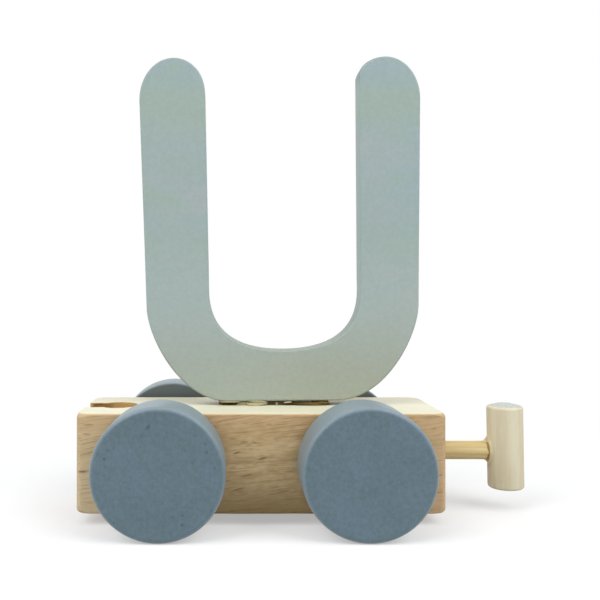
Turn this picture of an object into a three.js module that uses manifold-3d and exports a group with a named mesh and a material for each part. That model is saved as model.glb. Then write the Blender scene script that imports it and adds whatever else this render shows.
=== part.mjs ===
// Letter train car: a beech block on two turning wheelsets, carrying a painted letter U.
// A T-shaped coupling peg stands out at one end, and the other end has the keyhole
// socket that takes the peg of the next car.
// Millimetres. +X points to the coupling peg, +Y to the far side and +Z up.
// The origin is on the floor, in the middle of the whole car's box.

import * as THREE from 'three';
import { mergeVertices } from 'three/addons/utils/BufferGeometryUtils.js';
import Module from 'manifold-3d';

const wasm = await Module();
wasm.setup();

// Wheels and axles
const WHEEL_DIAMETER = 26;
const WHEEL_THICKNESS = 9.8;
const WHEEL_EDGE = 1;
const WHEEL_SIDES = 48;
const WHEEL_BLOCK_GAP = 1.5;
const WHEELBASE = 40.2;
const AXLE_DIAMETER = 6;
const AXLE_BITE = 6.7;
const AXLE_SIDES = 24;

// Wagon block
const BLOCK_LENGTH = 75.6;
const BLOCK_WIDTH = 23;
const BLOCK_HEIGHT = 20.5;
const BLOCK_CLEARANCE = 2.3;
const NEAR_CORNER = 1.2;
const FAR_CORNER = 3;
const BLOCK_EDGE = 0.5;

// Keyhole socket at the -X end
const SOCKET_DIAMETER = 8.4;
const SOCKET_INSET = 7;
const SOCKET_SLIT = 6.2;
const SOCKET_SIDES = 36;

// Letter: heights are above its own foot, widths are to either side of its middle.
// The sawn-out middle sits a little off centre, so one arm is wider than the other.
const LETTER_THICKNESS = 5;
const LETTER_EDGE = 0.3;
const LETTER_FOOT_HALF = 11.9;
const LETTER_CORNER_REACH = 22.9;
const LETTER_CORNER_RISE = 0.15;
const LETTER_CORNER_KNEE = 14.5;
const LETTER_OUTER_HALF = 29.75;
const LETTER_OUTER_LIFT = 21;
const LETTER_OUTER_SPLAY = THREE.MathUtils.degToRad(1.25);
const LETTER_TIP_X = 23.2;
const LETTER_TIP_RISE = 9.15;
const LETTER_LEFT_ARM = { height: 75.4, innerRise: 7.5 };
const LETTER_RIGHT_ARM = { height: 75.05, innerRise: 4.2 };
const LETTER_INNER_HALF = 16.59;
const LETTER_INNER_OFFSET = 0.47;
const LETTER_INNER_SPLAY = THREE.MathUtils.degToRad(0.36);
const LETTER_BOWL_LIFT = 26.6;
const LETTER_BOWL_KNEE = 23.1;
const LETTER_BOWL_REACH = 18;
const LETTER_BOWL_BOTTOM = 11.14;
const LETTER_ALONG = 5.45;
const LETTER_SET_BACK = 1.3;
const LETTER_LIFT = 0.95;
const LETTER_LEAN = THREE.MathUtils.degToRad(0.78);

// Pins and glue under the letter
const PIN_DIAMETER = 3;
const PIN_BITE = 8;
const PIN_SPACING = 16;
const PIN_SIDES = 16;
const BEAD_LENGTH = 25;
const BEAD_SHIFT = -1.2;
const BEAD_WIDTH = 5;
const BEAD_THICKNESS = 0.4;
const BEAD_WAVE = 0.4;
const BEAD_WAVES = 9;
const BEAD_POINTS = 72;

// Coupling peg
const DRAWBAR_HEIGHT = 12.85;
const DRAWBAR_DIAMETER = 4;
const DRAWBAR_BITE = 12;
const DRAWBAR_FLUTES = 8;
const FLUTE_DEPTH = 0.12;
const POINTS_PER_FLUTE = 6;
const BARREL_DIAMETER = 7.6;
const BARREL_LENGTH = 18;
const BARREL_EDGE = 0.45;
const BARREL_SIDES = 36;
const BARREL_OUTSTAND = 16.4;
const BARREL_RISE = 0.85;
const BARREL_BITE = 2.5;
const BARREL_LEAN = THREE.MathUtils.degToRad(1);
const FILLET_DIAMETER = 6.4;
const FILLET_LENGTH = 1.2;

// Clearances: a running fit round the axles, and a glue line round every fixed joint
const RUNNING_GAP = 0.3;
const GLUE_GAP = 0.25;
const OVERCUT = 1;

// Fineness of the round edges and curves, and the distance under which two corners are one
const EDGE_STEPS = 3;
const CURVE_STEPS = 12;
const MERGE_TOLERANCE = 1e-4;

// Worked out from the dimensions above
const AXLE_HEIGHT = (WHEEL_DIAMETER / 2) * Math.cos(Math.PI / WHEEL_SIDES);
const BLOCK_TOP = BLOCK_CLEARANCE + BLOCK_HEIGHT;
const BLOCK_MIDDLE = BLOCK_CLEARANCE + BLOCK_HEIGHT / 2;
const WHEEL_INNER_FACE = BLOCK_WIDTH / 2 + WHEEL_BLOCK_GAP;
const SOCKET_X = SOCKET_INSET - BLOCK_LENGTH / 2;
const BARREL_X = BLOCK_LENGTH / 2 + BARREL_OUTSTAND;
const AXLES = [
  { end: 'socket', x: -WHEELBASE / 2 },
  { end: 'peg', x: WHEELBASE / 2 },
];
const SIDES = [
  { side: 'near', sign: -1 },
  { side: 'far', sign: 1 },
];
const PINS = [
  { name: 'letter_pin_socket_side', x: LETTER_ALONG - PIN_SPACING / 2 },
  { name: 'letter_pin_peg_side', x: LETTER_ALONG + PIN_SPACING / 2 },
];

// Finishes: colour, roughness
const FINISHES = {
  beech: paint(0xb6986f, 0.7),
  letterPaint: paint(0xa0b1af, 0.55),
  wheelPaint: paint(0x63747e, 0.5),
  dowel: paint(0xcdbb8c, 0.7),
  barrel: paint(0xd0c4a2, 0.7),
  glue: paint(0xc9a24d, 0.25),
};

function paint(color, roughness) {
  return new THREE.MeshStandardMaterial({ color, roughness, metalness: 0 });
}

function node(name, geometry, finish) {
  const mesh = new THREE.Mesh(geometry, finish.clone());
  mesh.name = name;
  return mesh;
}

// A closed solid from a geometry, with its shared corners merged
function solidOf(geometry) {
  const bare = geometry.clone();
  bare.deleteAttribute('normal');
  bare.deleteAttribute('uv');
  const merged = mergeVertices(bare, MERGE_TOLERANCE);
  return new wasm.Manifold(new wasm.Mesh({
    numProp: 3,
    vertProperties: new Float32Array(merged.getAttribute('position').array),
    triVerts: new Uint32Array(merged.index.array),
  }));
}

// The body with every tool cut out of it
function cutAway(body, tools) {
  let solid = solidOf(body);
  for (const tool of tools) {
    solid = solid.subtract(solidOf(tool));
  }
  const { vertProperties, triVerts } = solid.getMesh();
  const geometry = new THREE.BufferGeometry();
  geometry.setAttribute('position', new THREE.BufferAttribute(vertProperties, 3));
  geometry.setIndex(new THREE.BufferAttribute(triVerts, 1));
  geometry.computeVertexNormals();
  return geometry;
}

// Round rods along each axis. A hole's flats keep the stated radius, so a rod turns in it.
function rodAlongY(radius, length, sides) {
  return new THREE.CylinderGeometry(radius, radius, length, sides);
}

function rodAlongX(radius, length, sides) {
  return rodAlongY(radius, length, sides).rotateZ(Math.PI / 2);
}

function rodAlongZ(radius, length, sides) {
  return rodAlongY(radius, length, sides).rotateX(Math.PI / 2);
}

function holeRadius(radius, sides) {
  return radius / Math.cos(Math.PI / sides);
}

// Quarter round from one profile direction to the next, as (radius, height) points
function edgeRound(centreRadius, centreHeight, round, fromAngle) {
  return Array.from({ length: EDGE_STEPS + 1 }, (_, step) => {
    const angle = fromAngle + (step / EDGE_STEPS) * (Math.PI / 2);
    return new THREE.Vector2(
      centreRadius + round * Math.cos(angle),
      centreHeight + round * Math.sin(angle),
    );
  });
}

// Block seen from above, with its far corners sanded rounder than the near ones
function blockPlan() {
  const end = BLOCK_LENGTH / 2;
  const side = BLOCK_WIDTH / 2;
  const shape = new THREE.Shape();
  shape.absarc(end - NEAR_CORNER, NEAR_CORNER - side, NEAR_CORNER, -Math.PI / 2, 0);
  shape.absarc(end - FAR_CORNER, side - FAR_CORNER, FAR_CORNER, 0, Math.PI / 2);
  shape.absarc(FAR_CORNER - end, side - FAR_CORNER, FAR_CORNER, Math.PI / 2, Math.PI);
  shape.absarc(NEAR_CORNER - end, NEAR_CORNER - side, NEAR_CORNER, Math.PI, Math.PI * 1.5);
  return shape;
}

// Beech block with eased edges, drilled for the axles, pins and drawbar and slotted for the socket
function wagonBlock() {
  const body = new THREE.ExtrudeGeometry(blockPlan(), {
    depth: BLOCK_HEIGHT - 2 * BLOCK_EDGE,
    bevelThickness: BLOCK_EDGE,
    bevelSize: BLOCK_EDGE,
    bevelOffset: -BLOCK_EDGE,
    bevelSegments: EDGE_STEPS,
    curveSegments: EDGE_STEPS,
  });
  body.translate(0, 0, BLOCK_CLEARANCE + BLOCK_EDGE);

  const throughHeight = BLOCK_HEIGHT + 2 * OVERCUT;
  const socket = rodAlongZ(holeRadius(SOCKET_DIAMETER / 2, SOCKET_SIDES), throughHeight, SOCKET_SIDES);
  socket.translate(SOCKET_X, 0, BLOCK_MIDDLE);
  const slit = new THREE.BoxGeometry(SOCKET_INSET + OVERCUT, SOCKET_SLIT, throughHeight);
  slit.translate(SOCKET_X - (SOCKET_INSET + OVERCUT) / 2, 0, BLOCK_MIDDLE);

  const boreRadius = holeRadius(AXLE_DIAMETER / 2 + RUNNING_GAP, AXLE_SIDES);
  const bores = AXLES.map(({ x }) => (
    rodAlongY(boreRadius, BLOCK_WIDTH + 2 * OVERCUT, AXLE_SIDES).translate(x, 0, AXLE_HEIGHT)
  ));

  const pinRadius = holeRadius(PIN_DIAMETER / 2 + GLUE_GAP, PIN_SIDES);
  const pinDepth = PIN_BITE + GLUE_GAP;
  const pinHoles = PINS.map(({ x }) => (
    rodAlongZ(pinRadius, pinDepth + OVERCUT, PIN_SIDES)
      .translate(x, LETTER_SET_BACK, BLOCK_TOP - pinDepth / 2 + OVERCUT / 2)
  ));

  const drawbarRadius = DRAWBAR_DIAMETER / 2 + GLUE_GAP;
  const drawbarDepth = DRAWBAR_BITE + GLUE_GAP;
  const drawbarHole = rodAlongX(drawbarRadius, drawbarDepth + OVERCUT, AXLE_SIDES);
  drawbarHole.translate((BLOCK_LENGTH - drawbarDepth + OVERCUT) / 2, 0, DRAWBAR_HEIGHT);

  const tools = [socket, slit, ...bores, ...pinHoles, drawbarHole];
  return node('wagon_block', cutAway(body, tools), FINISHES.beech);
}

// Plain disc with rounded rim edges and a blind hole for the axle, from its inner face (y = 0) out
function wheelGeometry() {
  const radius = WHEEL_DIAMETER / 2;
  const boreRadius = AXLE_DIAMETER / 2 + GLUE_GAP;
  const boreDepth = AXLE_BITE + GLUE_GAP;
  const profile = [
    new THREE.Vector2(0, boreDepth),
    new THREE.Vector2(boreRadius, boreDepth),
    new THREE.Vector2(boreRadius, 0),
    ...edgeRound(radius - WHEEL_EDGE, WHEEL_EDGE, WHEEL_EDGE, -Math.PI / 2),
    ...edgeRound(radius - WHEEL_EDGE, WHEEL_THICKNESS - WHEEL_EDGE, WHEEL_EDGE, 0),
    new THREE.Vector2(0, WHEEL_THICKNESS),
  ];
  // Half a step of turn puts a flat of the rim on the floor
  return new THREE.LatheGeometry(profile, WHEEL_SIDES, Math.PI / WHEEL_SIDES);
}

// One dowel axle with a wheel glued on each end
function wheelset({ end, x }) {
  const group = new THREE.Group();
  const axleLength = 2 * (WHEEL_INNER_FACE + AXLE_BITE);
  group.add(node(`axle_${end}_end`, rodAlongY(AXLE_DIAMETER / 2, axleLength, AXLE_SIDES), FINISHES.dowel));
  for (const { side, sign } of SIDES) {
    const wheel = node(`wheel_${end}_${side}`, wheelGeometry(), FINISHES.wheelPaint);
    wheel.position.y = sign * WHEEL_INNER_FACE;
    wheel.rotation.x = sign > 0 ? 0 : Math.PI;
    group.add(wheel);
  }
  group.position.set(x, 0, AXLE_HEIGHT);
  return group;
}

// Rounded end of one arm: quarters of two upright ellipses, from the outer edge to the top and on to the inner edge
function letterTip(innerHalf, { height, innerRise }) {
  const outerLift = height - LETTER_TIP_RISE;
  const innerLift = height - innerRise;
  const outerEdge = LETTER_OUTER_HALF + (outerLift - LETTER_OUTER_LIFT) * Math.tan(LETTER_OUTER_SPLAY);
  const innerEdge = innerHalf + (innerLift - LETTER_BOWL_LIFT) * Math.tan(LETTER_INNER_SPLAY);
  return {
    outer: { lift: outerLift, width: outerEdge - LETTER_TIP_X, rise: LETTER_TIP_RISE },
    inner: { lift: innerLift, width: LETTER_TIP_X - innerEdge, rise: innerRise },
  };
}

// The U drawn standing on its flat foot, counter-clockwise from the foot's right end
function letterOutline() {
  const middle = LETTER_INNER_OFFSET;
  const right = letterTip(LETTER_INNER_HALF + middle, LETTER_RIGHT_ARM);
  const left = letterTip(LETTER_INNER_HALF - middle, LETTER_LEFT_ARM);
  const innerRight = middle + LETTER_INNER_HALF;
  const innerLeft = middle - LETTER_INNER_HALF;
  const outer = LETTER_OUTER_HALF;
  const tip = LETTER_TIP_X;
  const reach = LETTER_CORNER_REACH;
  const bottom = LETTER_BOWL_BOTTOM;
  const bowl = LETTER_BOWL_REACH;

  const shape = new THREE.Shape();
  shape.moveTo(LETTER_FOOT_HALF, 0);
  shape.bezierCurveTo(reach, LETTER_CORNER_RISE, outer, LETTER_CORNER_KNEE, outer, LETTER_OUTER_LIFT);
  shape.absellipse(tip, right.outer.lift, right.outer.width, right.outer.rise, 0, Math.PI / 2);
  shape.absellipse(tip, right.inner.lift, right.inner.width, right.inner.rise, Math.PI / 2, Math.PI);
  shape.lineTo(innerRight, LETTER_BOWL_LIFT);
  shape.bezierCurveTo(innerRight, LETTER_BOWL_KNEE, middle + bowl, bottom, middle, bottom);
  shape.bezierCurveTo(middle - bowl, bottom, innerLeft, LETTER_BOWL_KNEE, innerLeft, LETTER_BOWL_LIFT);
  shape.absellipse(-tip, left.inner.lift, left.inner.width, left.inner.rise, 0, Math.PI / 2);
  shape.absellipse(-tip, left.outer.lift, left.outer.width, left.outer.rise, Math.PI / 2, Math.PI);
  shape.lineTo(-outer, LETTER_OUTER_LIFT);
  shape.bezierCurveTo(-outer, LETTER_CORNER_KNEE, -reach, LETTER_CORNER_RISE, -LETTER_FOOT_HALF, 0);
  return shape;
}

// Flat painted letter, with two blind pin holes in its foot
function letterU() {
  const body = new THREE.ExtrudeGeometry(letterOutline(), {
    depth: LETTER_THICKNESS - 2 * LETTER_EDGE,
    bevelThickness: LETTER_EDGE,
    bevelSize: LETTER_EDGE,
    bevelOffset: -LETTER_EDGE,
    bevelSegments: 1,
    curveSegments: CURVE_STEPS,
  });
  body.translate(0, 0, LETTER_EDGE - LETTER_THICKNESS / 2);
  body.rotateX(Math.PI / 2);

  const pinRadius = holeRadius(PIN_DIAMETER / 2 + GLUE_GAP, PIN_SIDES);
  const pinDepth = PIN_BITE + 2 * GLUE_GAP;
  const pinHoles = PINS.map(({ x }) => (
    rodAlongZ(pinRadius, pinDepth + OVERCUT, PIN_SIDES)
      .translate(x - LETTER_ALONG, 0, (pinDepth - OVERCUT) / 2)
  ));

  const letter = node('letter_u', cutAway(body, pinHoles), FINISHES.letterPaint);
  letter.position.set(LETTER_ALONG, LETTER_SET_BACK, BLOCK_TOP + LETTER_LIFT);
  letter.rotation.y = -LETTER_LEAN;
  return letter;
}

// Hidden dowel pin, half in the block and half in the letter
function letterPin({ name, x }) {
  const pin = node(name, rodAlongZ(PIN_DIAMETER / 2, 2 * PIN_BITE, PIN_SIDES), FINISHES.dowel);
  pin.position.set(x, LETTER_SET_BACK, BLOCK_TOP + LETTER_LIFT / 2);
  return pin;
}

// Bead of glue squeezed out between the block and the letter's foot: a wavy-edged film round the pins
function letterGlue() {
  const outline = Array.from({ length: BEAD_POINTS }, (_, step) => {
    const turn = (step / BEAD_POINTS) * 2 * Math.PI;
    const wave = BEAD_WAVE * Math.sin(BEAD_WAVES * turn);
    return new THREE.Vector2(
      (BEAD_LENGTH / 2 + wave) * Math.sign(Math.cos(turn)) * Math.sqrt(Math.abs(Math.cos(turn))),
      (BEAD_WIDTH / 2 + wave) * Math.sign(Math.sin(turn)) * Math.sqrt(Math.abs(Math.sin(turn))),
    );
  });
  const film = new THREE.ExtrudeGeometry(new THREE.Shape(outline), {
    depth: BEAD_THICKNESS,
    bevelEnabled: false,
  });
  const pinRadius = PIN_DIAMETER / 2 + GLUE_GAP;
  const pinHoles = PINS.map(({ x }) => (
    rodAlongZ(pinRadius, BEAD_THICKNESS + 2 * OVERCUT, PIN_SIDES)
      .translate(x - LETTER_ALONG - BEAD_SHIFT, 0, BEAD_THICKNESS / 2)
  ));
  const glue = node('letter_glue', cutAway(film, pinHoles), FINISHES.glue);
  const glueLift = (LETTER_LIFT - BEAD_THICKNESS) / 2;
  glue.position.set(LETTER_ALONG + BEAD_SHIFT, LETTER_SET_BACK, BLOCK_TOP + glueLift);
  return glue;
}

// Fluted dowel from the block's end into the barrel
function drawbar() {
  const count = DRAWBAR_FLUTES * POINTS_PER_FLUTE;
  const section = Array.from({ length: count }, (_, step) => {
    const turn = (step / count) * 2 * Math.PI;
    const radius = DRAWBAR_DIAMETER / 2 - (FLUTE_DEPTH * (1 - Math.cos(DRAWBAR_FLUTES * turn))) / 2;
    return new THREE.Vector2(radius * Math.cos(turn), radius * Math.sin(turn));
  });
  const length = DRAWBAR_BITE + BARREL_OUTSTAND - BARREL_DIAMETER / 2 + BARREL_BITE;
  const rod = new THREE.ExtrudeGeometry(new THREE.Shape(section), { depth: length, bevelEnabled: false });
  const bar = node('drawbar', rod.rotateY(Math.PI / 2), FINISHES.dowel);
  bar.position.set(BLOCK_LENGTH / 2 - DRAWBAR_BITE, 0, DRAWBAR_HEIGHT);
  return bar;
}

// Upright barrel, leaning a little, with a blind hole where the drawbar enters
function couplerBarrel() {
  const radius = BARREL_DIAMETER / 2;
  const half = BARREL_LENGTH / 2;
  const profile = [
    new THREE.Vector2(0, -half),
    ...edgeRound(radius - BARREL_EDGE, BARREL_EDGE - half, BARREL_EDGE, -Math.PI / 2),
    ...edgeRound(radius - BARREL_EDGE, half - BARREL_EDGE, BARREL_EDGE, 0),
    new THREE.Vector2(0, half),
  ];
  const body = new THREE.LatheGeometry(profile, BARREL_SIDES).rotateX(Math.PI / 2);
  body.translate(0, 0, BARREL_RISE);

  const holeDepth = BARREL_BITE + GLUE_GAP;
  const hole = rodAlongX(DRAWBAR_DIAMETER / 2 + GLUE_GAP, holeDepth + OVERCUT, AXLE_SIDES);
  hole.translate((holeDepth - OVERCUT) / 2 - radius, 0, 0);

  const barrel = node('coupler_barrel', cutAway(body, [hole]), FINISHES.barrel);
  barrel.position.set(BARREL_X, 0, DRAWBAR_HEIGHT);
  barrel.rotation.y = -BARREL_LEAN;
  return barrel;
}

// Collar of glue round the drawbar, flaring to meet the barrel's round side
function couplerGlue() {
  const inner = DRAWBAR_DIAMETER / 2 + GLUE_GAP;
  const outer = FILLET_DIAMETER / 2;
  const barrelFace = BARREL_DIAMETER / 2 + GLUE_GAP;
  const flare = [
    new THREE.Vector2(inner, 0),
    new THREE.Vector2(outer, 0),
    new THREE.Vector2(outer, barrelFace - FILLET_LENGTH / 2),
    new THREE.Vector2((inner + outer) / 2, barrelFace),
    new THREE.Vector2(inner + GLUE_GAP / 2, barrelFace + FILLET_LENGTH),
    new THREE.Vector2(inner, barrelFace + FILLET_LENGTH),
    new THREE.Vector2(inner, 0),
  ];
  const body = new THREE.LatheGeometry(flare, AXLE_SIDES).rotateZ(Math.PI / 2);
  const barrel = rodAlongZ(barrelFace, BARREL_LENGTH, BARREL_SIDES);
  const glue = node('coupler_glue', cutAway(body, [barrel]), FINISHES.glue);
  glue.position.set(BARREL_X, 0, DRAWBAR_HEIGHT);
  return glue;
}

const car = new THREE.Group();
car.add(wagonBlock(), letterU(), letterGlue(), drawbar(), couplerBarrel(), couplerGlue());
car.add(...PINS.map(letterPin), ...AXLES.map(wheelset));

// Slide the car along X until its box is centred over the origin
car.position.x = -new THREE.Box3().setFromObject(car, true).getCenter(new THREE.Vector3()).x;

export default car;
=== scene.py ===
"""Letter train car: the looks of a wooden toy wagon that carries a painted letter U.

Sizes are metres, and leans and splays are degrees, with +X towards the coupling peg, +Y to the
far side and +Z up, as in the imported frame. Every piece's mesh holds its place, so its object sits
at the origin. Finishes read millimetres.
"""

import logging
import math
import operator
from collections.abc import Iterable, Mapping, Sequence
from dataclasses import dataclass
from enum import Enum
from functools import reduce
from typing import Any

import bmesh
import bpy
import numpy as np
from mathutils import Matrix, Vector


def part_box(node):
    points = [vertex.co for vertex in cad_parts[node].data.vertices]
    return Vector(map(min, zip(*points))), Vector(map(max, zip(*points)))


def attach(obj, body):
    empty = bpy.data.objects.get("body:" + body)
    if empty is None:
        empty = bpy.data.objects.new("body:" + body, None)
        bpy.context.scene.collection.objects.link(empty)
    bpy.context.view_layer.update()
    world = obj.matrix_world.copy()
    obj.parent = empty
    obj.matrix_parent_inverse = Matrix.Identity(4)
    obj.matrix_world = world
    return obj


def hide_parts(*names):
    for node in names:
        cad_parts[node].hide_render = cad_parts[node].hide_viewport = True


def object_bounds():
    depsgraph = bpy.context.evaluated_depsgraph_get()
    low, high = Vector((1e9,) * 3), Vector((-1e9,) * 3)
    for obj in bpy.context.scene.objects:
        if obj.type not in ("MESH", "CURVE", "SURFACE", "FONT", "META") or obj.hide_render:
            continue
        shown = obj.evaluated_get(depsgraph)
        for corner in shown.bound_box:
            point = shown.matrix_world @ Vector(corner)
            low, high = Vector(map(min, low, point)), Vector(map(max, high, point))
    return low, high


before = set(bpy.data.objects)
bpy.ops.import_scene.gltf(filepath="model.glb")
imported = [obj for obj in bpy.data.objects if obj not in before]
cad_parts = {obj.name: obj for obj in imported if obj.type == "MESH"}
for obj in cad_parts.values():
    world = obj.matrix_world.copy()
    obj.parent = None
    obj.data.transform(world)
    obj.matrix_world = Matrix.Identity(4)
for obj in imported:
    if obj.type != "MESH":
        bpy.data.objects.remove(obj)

CAD_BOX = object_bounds()
MM = 0.001
LOG = logging.getLogger("letter_train_car")
WHITE = (1.0, 1.0, 1.0, 1.0)
SCREEN_FULL = 255.0

# The sRGB curve: a straight line of this slope up to the knee, and a power with an offset above it
SRGB_KNEE = 0.04045
SRGB_SLOPE = 12.92
SRGB_OFFSET = 0.055
SRGB_POWER = 2.4

Pair = tuple[float, float]
Triple = tuple[float, float, float]
Colour = tuple[float, float, float, float]
Settings = Mapping[str, Any]
Inputs = Mapping[str | int, Any]
Pieces = list[bpy.types.Object]


def srgb(red: int, green: int, blue: int) -> Colour:
    """A screen colour of 0 to 255 as the linear colour that shaders take, by the sRGB curve.

    Args:
        red: red channel.
        green: green channel.
        blue: blue channel.

    Returns:
        Linear red, green and blue, with an alpha of 1.
    """
    share = np.array([red, green, blue]) / SCREEN_FULL
    power = ((share + SRGB_OFFSET) / (1.0 + SRGB_OFFSET)) ** SRGB_POWER
    linear = np.where(share <= SRGB_KNEE, share / SRGB_SLOPE, power)
    return (*linear.tolist(), 1.0)


# Shaders


class Value:
    """One output socket of a shader node, which Python's operators work on."""

    def __init__(self, shader: "Shader", socket: bpy.types.NodeSocket) -> None:
        """Keeps the socket and the shader that it belongs to."""
        self.shader = shader
        self.socket = socket

    def __add__(self, other: "Number") -> "Value":
        """Sum of two values."""
        return self.shader.math("ADD", self, other)

    def __sub__(self, other: "Number") -> "Value":
        """This value less the other."""
        return self.shader.math("SUBTRACT", self, other)

    def __rsub__(self, other: "Number") -> "Value":
        """The other value less this one."""
        return self.shader.math("SUBTRACT", other, self)

    def __mul__(self, other: "Number") -> "Value":
        """Product of two values."""
        return self.shader.math("MULTIPLY", self, other)

    def __truediv__(self, other: "Number") -> "Value":
        """This value divided by the other."""
        return self.shader.math("DIVIDE", self, other)

    def __rtruediv__(self, other: "Number") -> "Value":
        """The other value divided by this one."""
        return self.shader.math("DIVIDE", other, self)

    def __pow__(self, other: "Number") -> "Value":
        """This value to the power of the other."""
        return self.shader.math("POWER", self, other)

    def __rpow__(self, other: "Number") -> "Value":
        """The other value to the power of this one."""
        return self.shader.math("POWER", other, self)

    def __abs__(self) -> "Value":
        """This value without its sign."""
        return self.shader.math("ABSOLUTE", self, 0.0)

    __radd__ = __add__
    __rmul__ = __mul__


Number = float | Value
Tint = Colour | Value

# Sockets of a Mix node when it mixes colours
MIX_FACTOR = 0
MIX_FIRST = 6
MIX_SECOND = 7
MIX_RESULT = 2


class Shader:
    """Node tree of one material, or of the world, which ends in a single shader."""

    def __init__(self, owner: bpy.types.Material | bpy.types.World) -> None:
        """Empties a node tree.

        Args:
            owner: the material or the world that has it.
        """
        self.owner = owner
        owner.use_nodes = True
        self.tree = owner.node_tree
        self.tree.nodes.clear()

    def add(self, kind: str, settings: Settings | None = None,
            inputs: Inputs | None = None) -> bpy.types.ShaderNode:
        """Adds a node of any kind.

        Args:
            kind: Blender's name of the node type.
            settings: the node's own properties, set first.
            inputs: a number, colour or Value for each input socket, by name or number.

        Returns:
            The new node.
        """
        made = self.tree.nodes.new(kind)
        for key, setting in (settings or {}).items():
            setattr(made, key, setting)
        for key, given in (inputs or {}).items():
            if isinstance(given, Value):
                self.tree.links.new(given.socket, made.inputs[key])
            else:
                made.inputs[key].default_value = given
        return made

    def node(self, kind: str, settings: Settings | None = None, inputs: Inputs | None = None,
             output: str | int = 0) -> Value:
        """One output of a node that is added for it."""
        return Value(self, self.add(kind, settings, inputs).outputs[output])

    def math(self, operation: str, first: Number, second: Number) -> Value:
        """One Math node of two values."""
        return self.node("ShaderNodeMath", {"operation": operation}, {0: first, 1: second})

    def largest(self, values: Iterable[Value]) -> Value:
        """The largest of several values."""
        return reduce(lambda first, second: self.math("MAXIMUM", first, second), values)

    @staticmethod
    def weighted(values: Sequence[Value], weights: Sequence[float]) -> Value:
        """The sum of several values, each times its weight."""
        return reduce(operator.add, (value * weight for value, weight in zip(values, weights)))

    def position(self) -> Value:
        """The place on the piece, in millimetres."""
        place = self.node("ShaderNodeTexCoord", output="Object")
        return self.node("ShaderNodeVectorMath", {"operation": "SCALE"}, {0: place, "Scale": 1.0 / MM})

    def parts(self, vector: Value) -> tuple[Value, Value, Value]:
        """The three coordinates of a vector."""
        split = self.add("ShaderNodeSeparateXYZ", inputs={0: vector})
        return tuple(Value(self, socket) for socket in split.outputs)

    def joined(self, x: Number, y: Number, z: Number) -> Value:
        """A vector of three coordinates."""
        return self.node("ShaderNodeCombineXYZ", inputs={0: x, 1: y, 2: z})

    def stretched(self, vector: Value, scale: Triple) -> Value:
        """A vector times a scale for each axis."""
        return self.node("ShaderNodeVectorMath", {"operation": "MULTIPLY"}, {0: vector, 1: scale})

    def cells(self, vector: Value, scale: float) -> tuple[Value, Value]:
        """Scattered points, one in each cell of a loose grid.

        Args:
            vector: the place.
            scale: cells per unit of it.

        Returns:
            Distance to the nearest point, and a random number for that point.
        """
        spread = self.add("ShaderNodeTexVoronoi", inputs={"Vector": vector, "Scale": scale}).outputs
        colour = Value(self, spread["Color"])
        return Value(self, spread["Distance"]), self.node("ShaderNodeSeparateColor", inputs={0: colour})

    def step(self, value: Value, low: float, high: float, bottom: float = 0.0, top: float = 1.0) -> Value:
        """A smooth step of the value from low to high, which gives bottom to top."""
        inputs = {"Value": value, "From Min": low, "From Max": high, "To Min": bottom, "To Max": top}
        return self.node("ShaderNodeMapRange", {"interpolation_type": "SMOOTHSTEP"}, inputs)

    def mix(self, factor: Number, first: Tint, second: Tint, blend: str = "MIX") -> Value:
        """A mix of two colours.

        Args:
            factor: share of the second colour.
            first: the colour at a factor of 0.
            second: the colour at a factor of 1.
            blend: Blender's name of the way of mixing.

        Returns:
            The mixed colour.
        """
        settings = {"data_type": "RGBA", "blend_type": blend, "clamp_factor": True}
        inputs = {MIX_FACTOR: factor, MIX_FIRST: first, MIX_SECOND: second}
        return self.node("ShaderNodeMix", settings, inputs, MIX_RESULT)

    def layered(self, base: Tint, *layers: tuple[Number, Tint]) -> Value:
        """A colour with others laid over it in turn, each a pair of mask and colour."""
        return reduce(lambda under, layer: self.mix(layer[0], under, layer[1]), layers, base)

    def seen(self) -> Value:
        """Tells the rays that show a background from the rays that it lights by.

        Returns:
            1 where the camera looks straight, by a mirror or through glass, and 0 for other rays.
        """
        rays = self.add("ShaderNodeLightPath").outputs
        kinds = ("Camera", "Glossy", "Transmission")
        camera, glossy, through = (Value(self, rays[f"Is {kind} Ray"]) for kind in kinds)
        settings = {"operation": "ADD", "use_clamp": True}
        return self.node("ShaderNodeMath", settings, {0: camera + glossy, 1: through})

    def finish(self, colour: Tint, rough: Number, specular: float, normal: Value,
               more: Inputs | None = None) -> bpy.types.Material:
        """Ends a material's tree in a Principled shader.

        Args:
            colour: base colour.
            rough: roughness.
            specular: specular level.
            normal: bumped normal.
            more: what else is given to its sockets, by name.

        Returns:
            The material.
        """
        inputs = {"Base Color": colour, "Roughness": rough, "Specular IOR Level": specular,
                  "Normal": normal, **(more or {})}
        surface = self.node("ShaderNodeBsdfPrincipled", inputs=inputs)
        self.end(surface, "ShaderNodeOutputMaterial")
        return self.owner

    def end(self, surface: Value, kind: str) -> None:
        """Links a shader to an output node of that kind."""
        self.add(kind, inputs={"Surface": surface})


# Meshes


# The least angle of a sharp edge, the steps of a round edge, the width of the flat ring beside
# it, and the points and the steepness of one groove
SHARP_ANGLE = math.radians(38.0)
EDGE_STEPS = 7
SUPPORT = 0.03 * MM
FLUTE_POINTS = 12
FLUTE_POWER = 3


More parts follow.
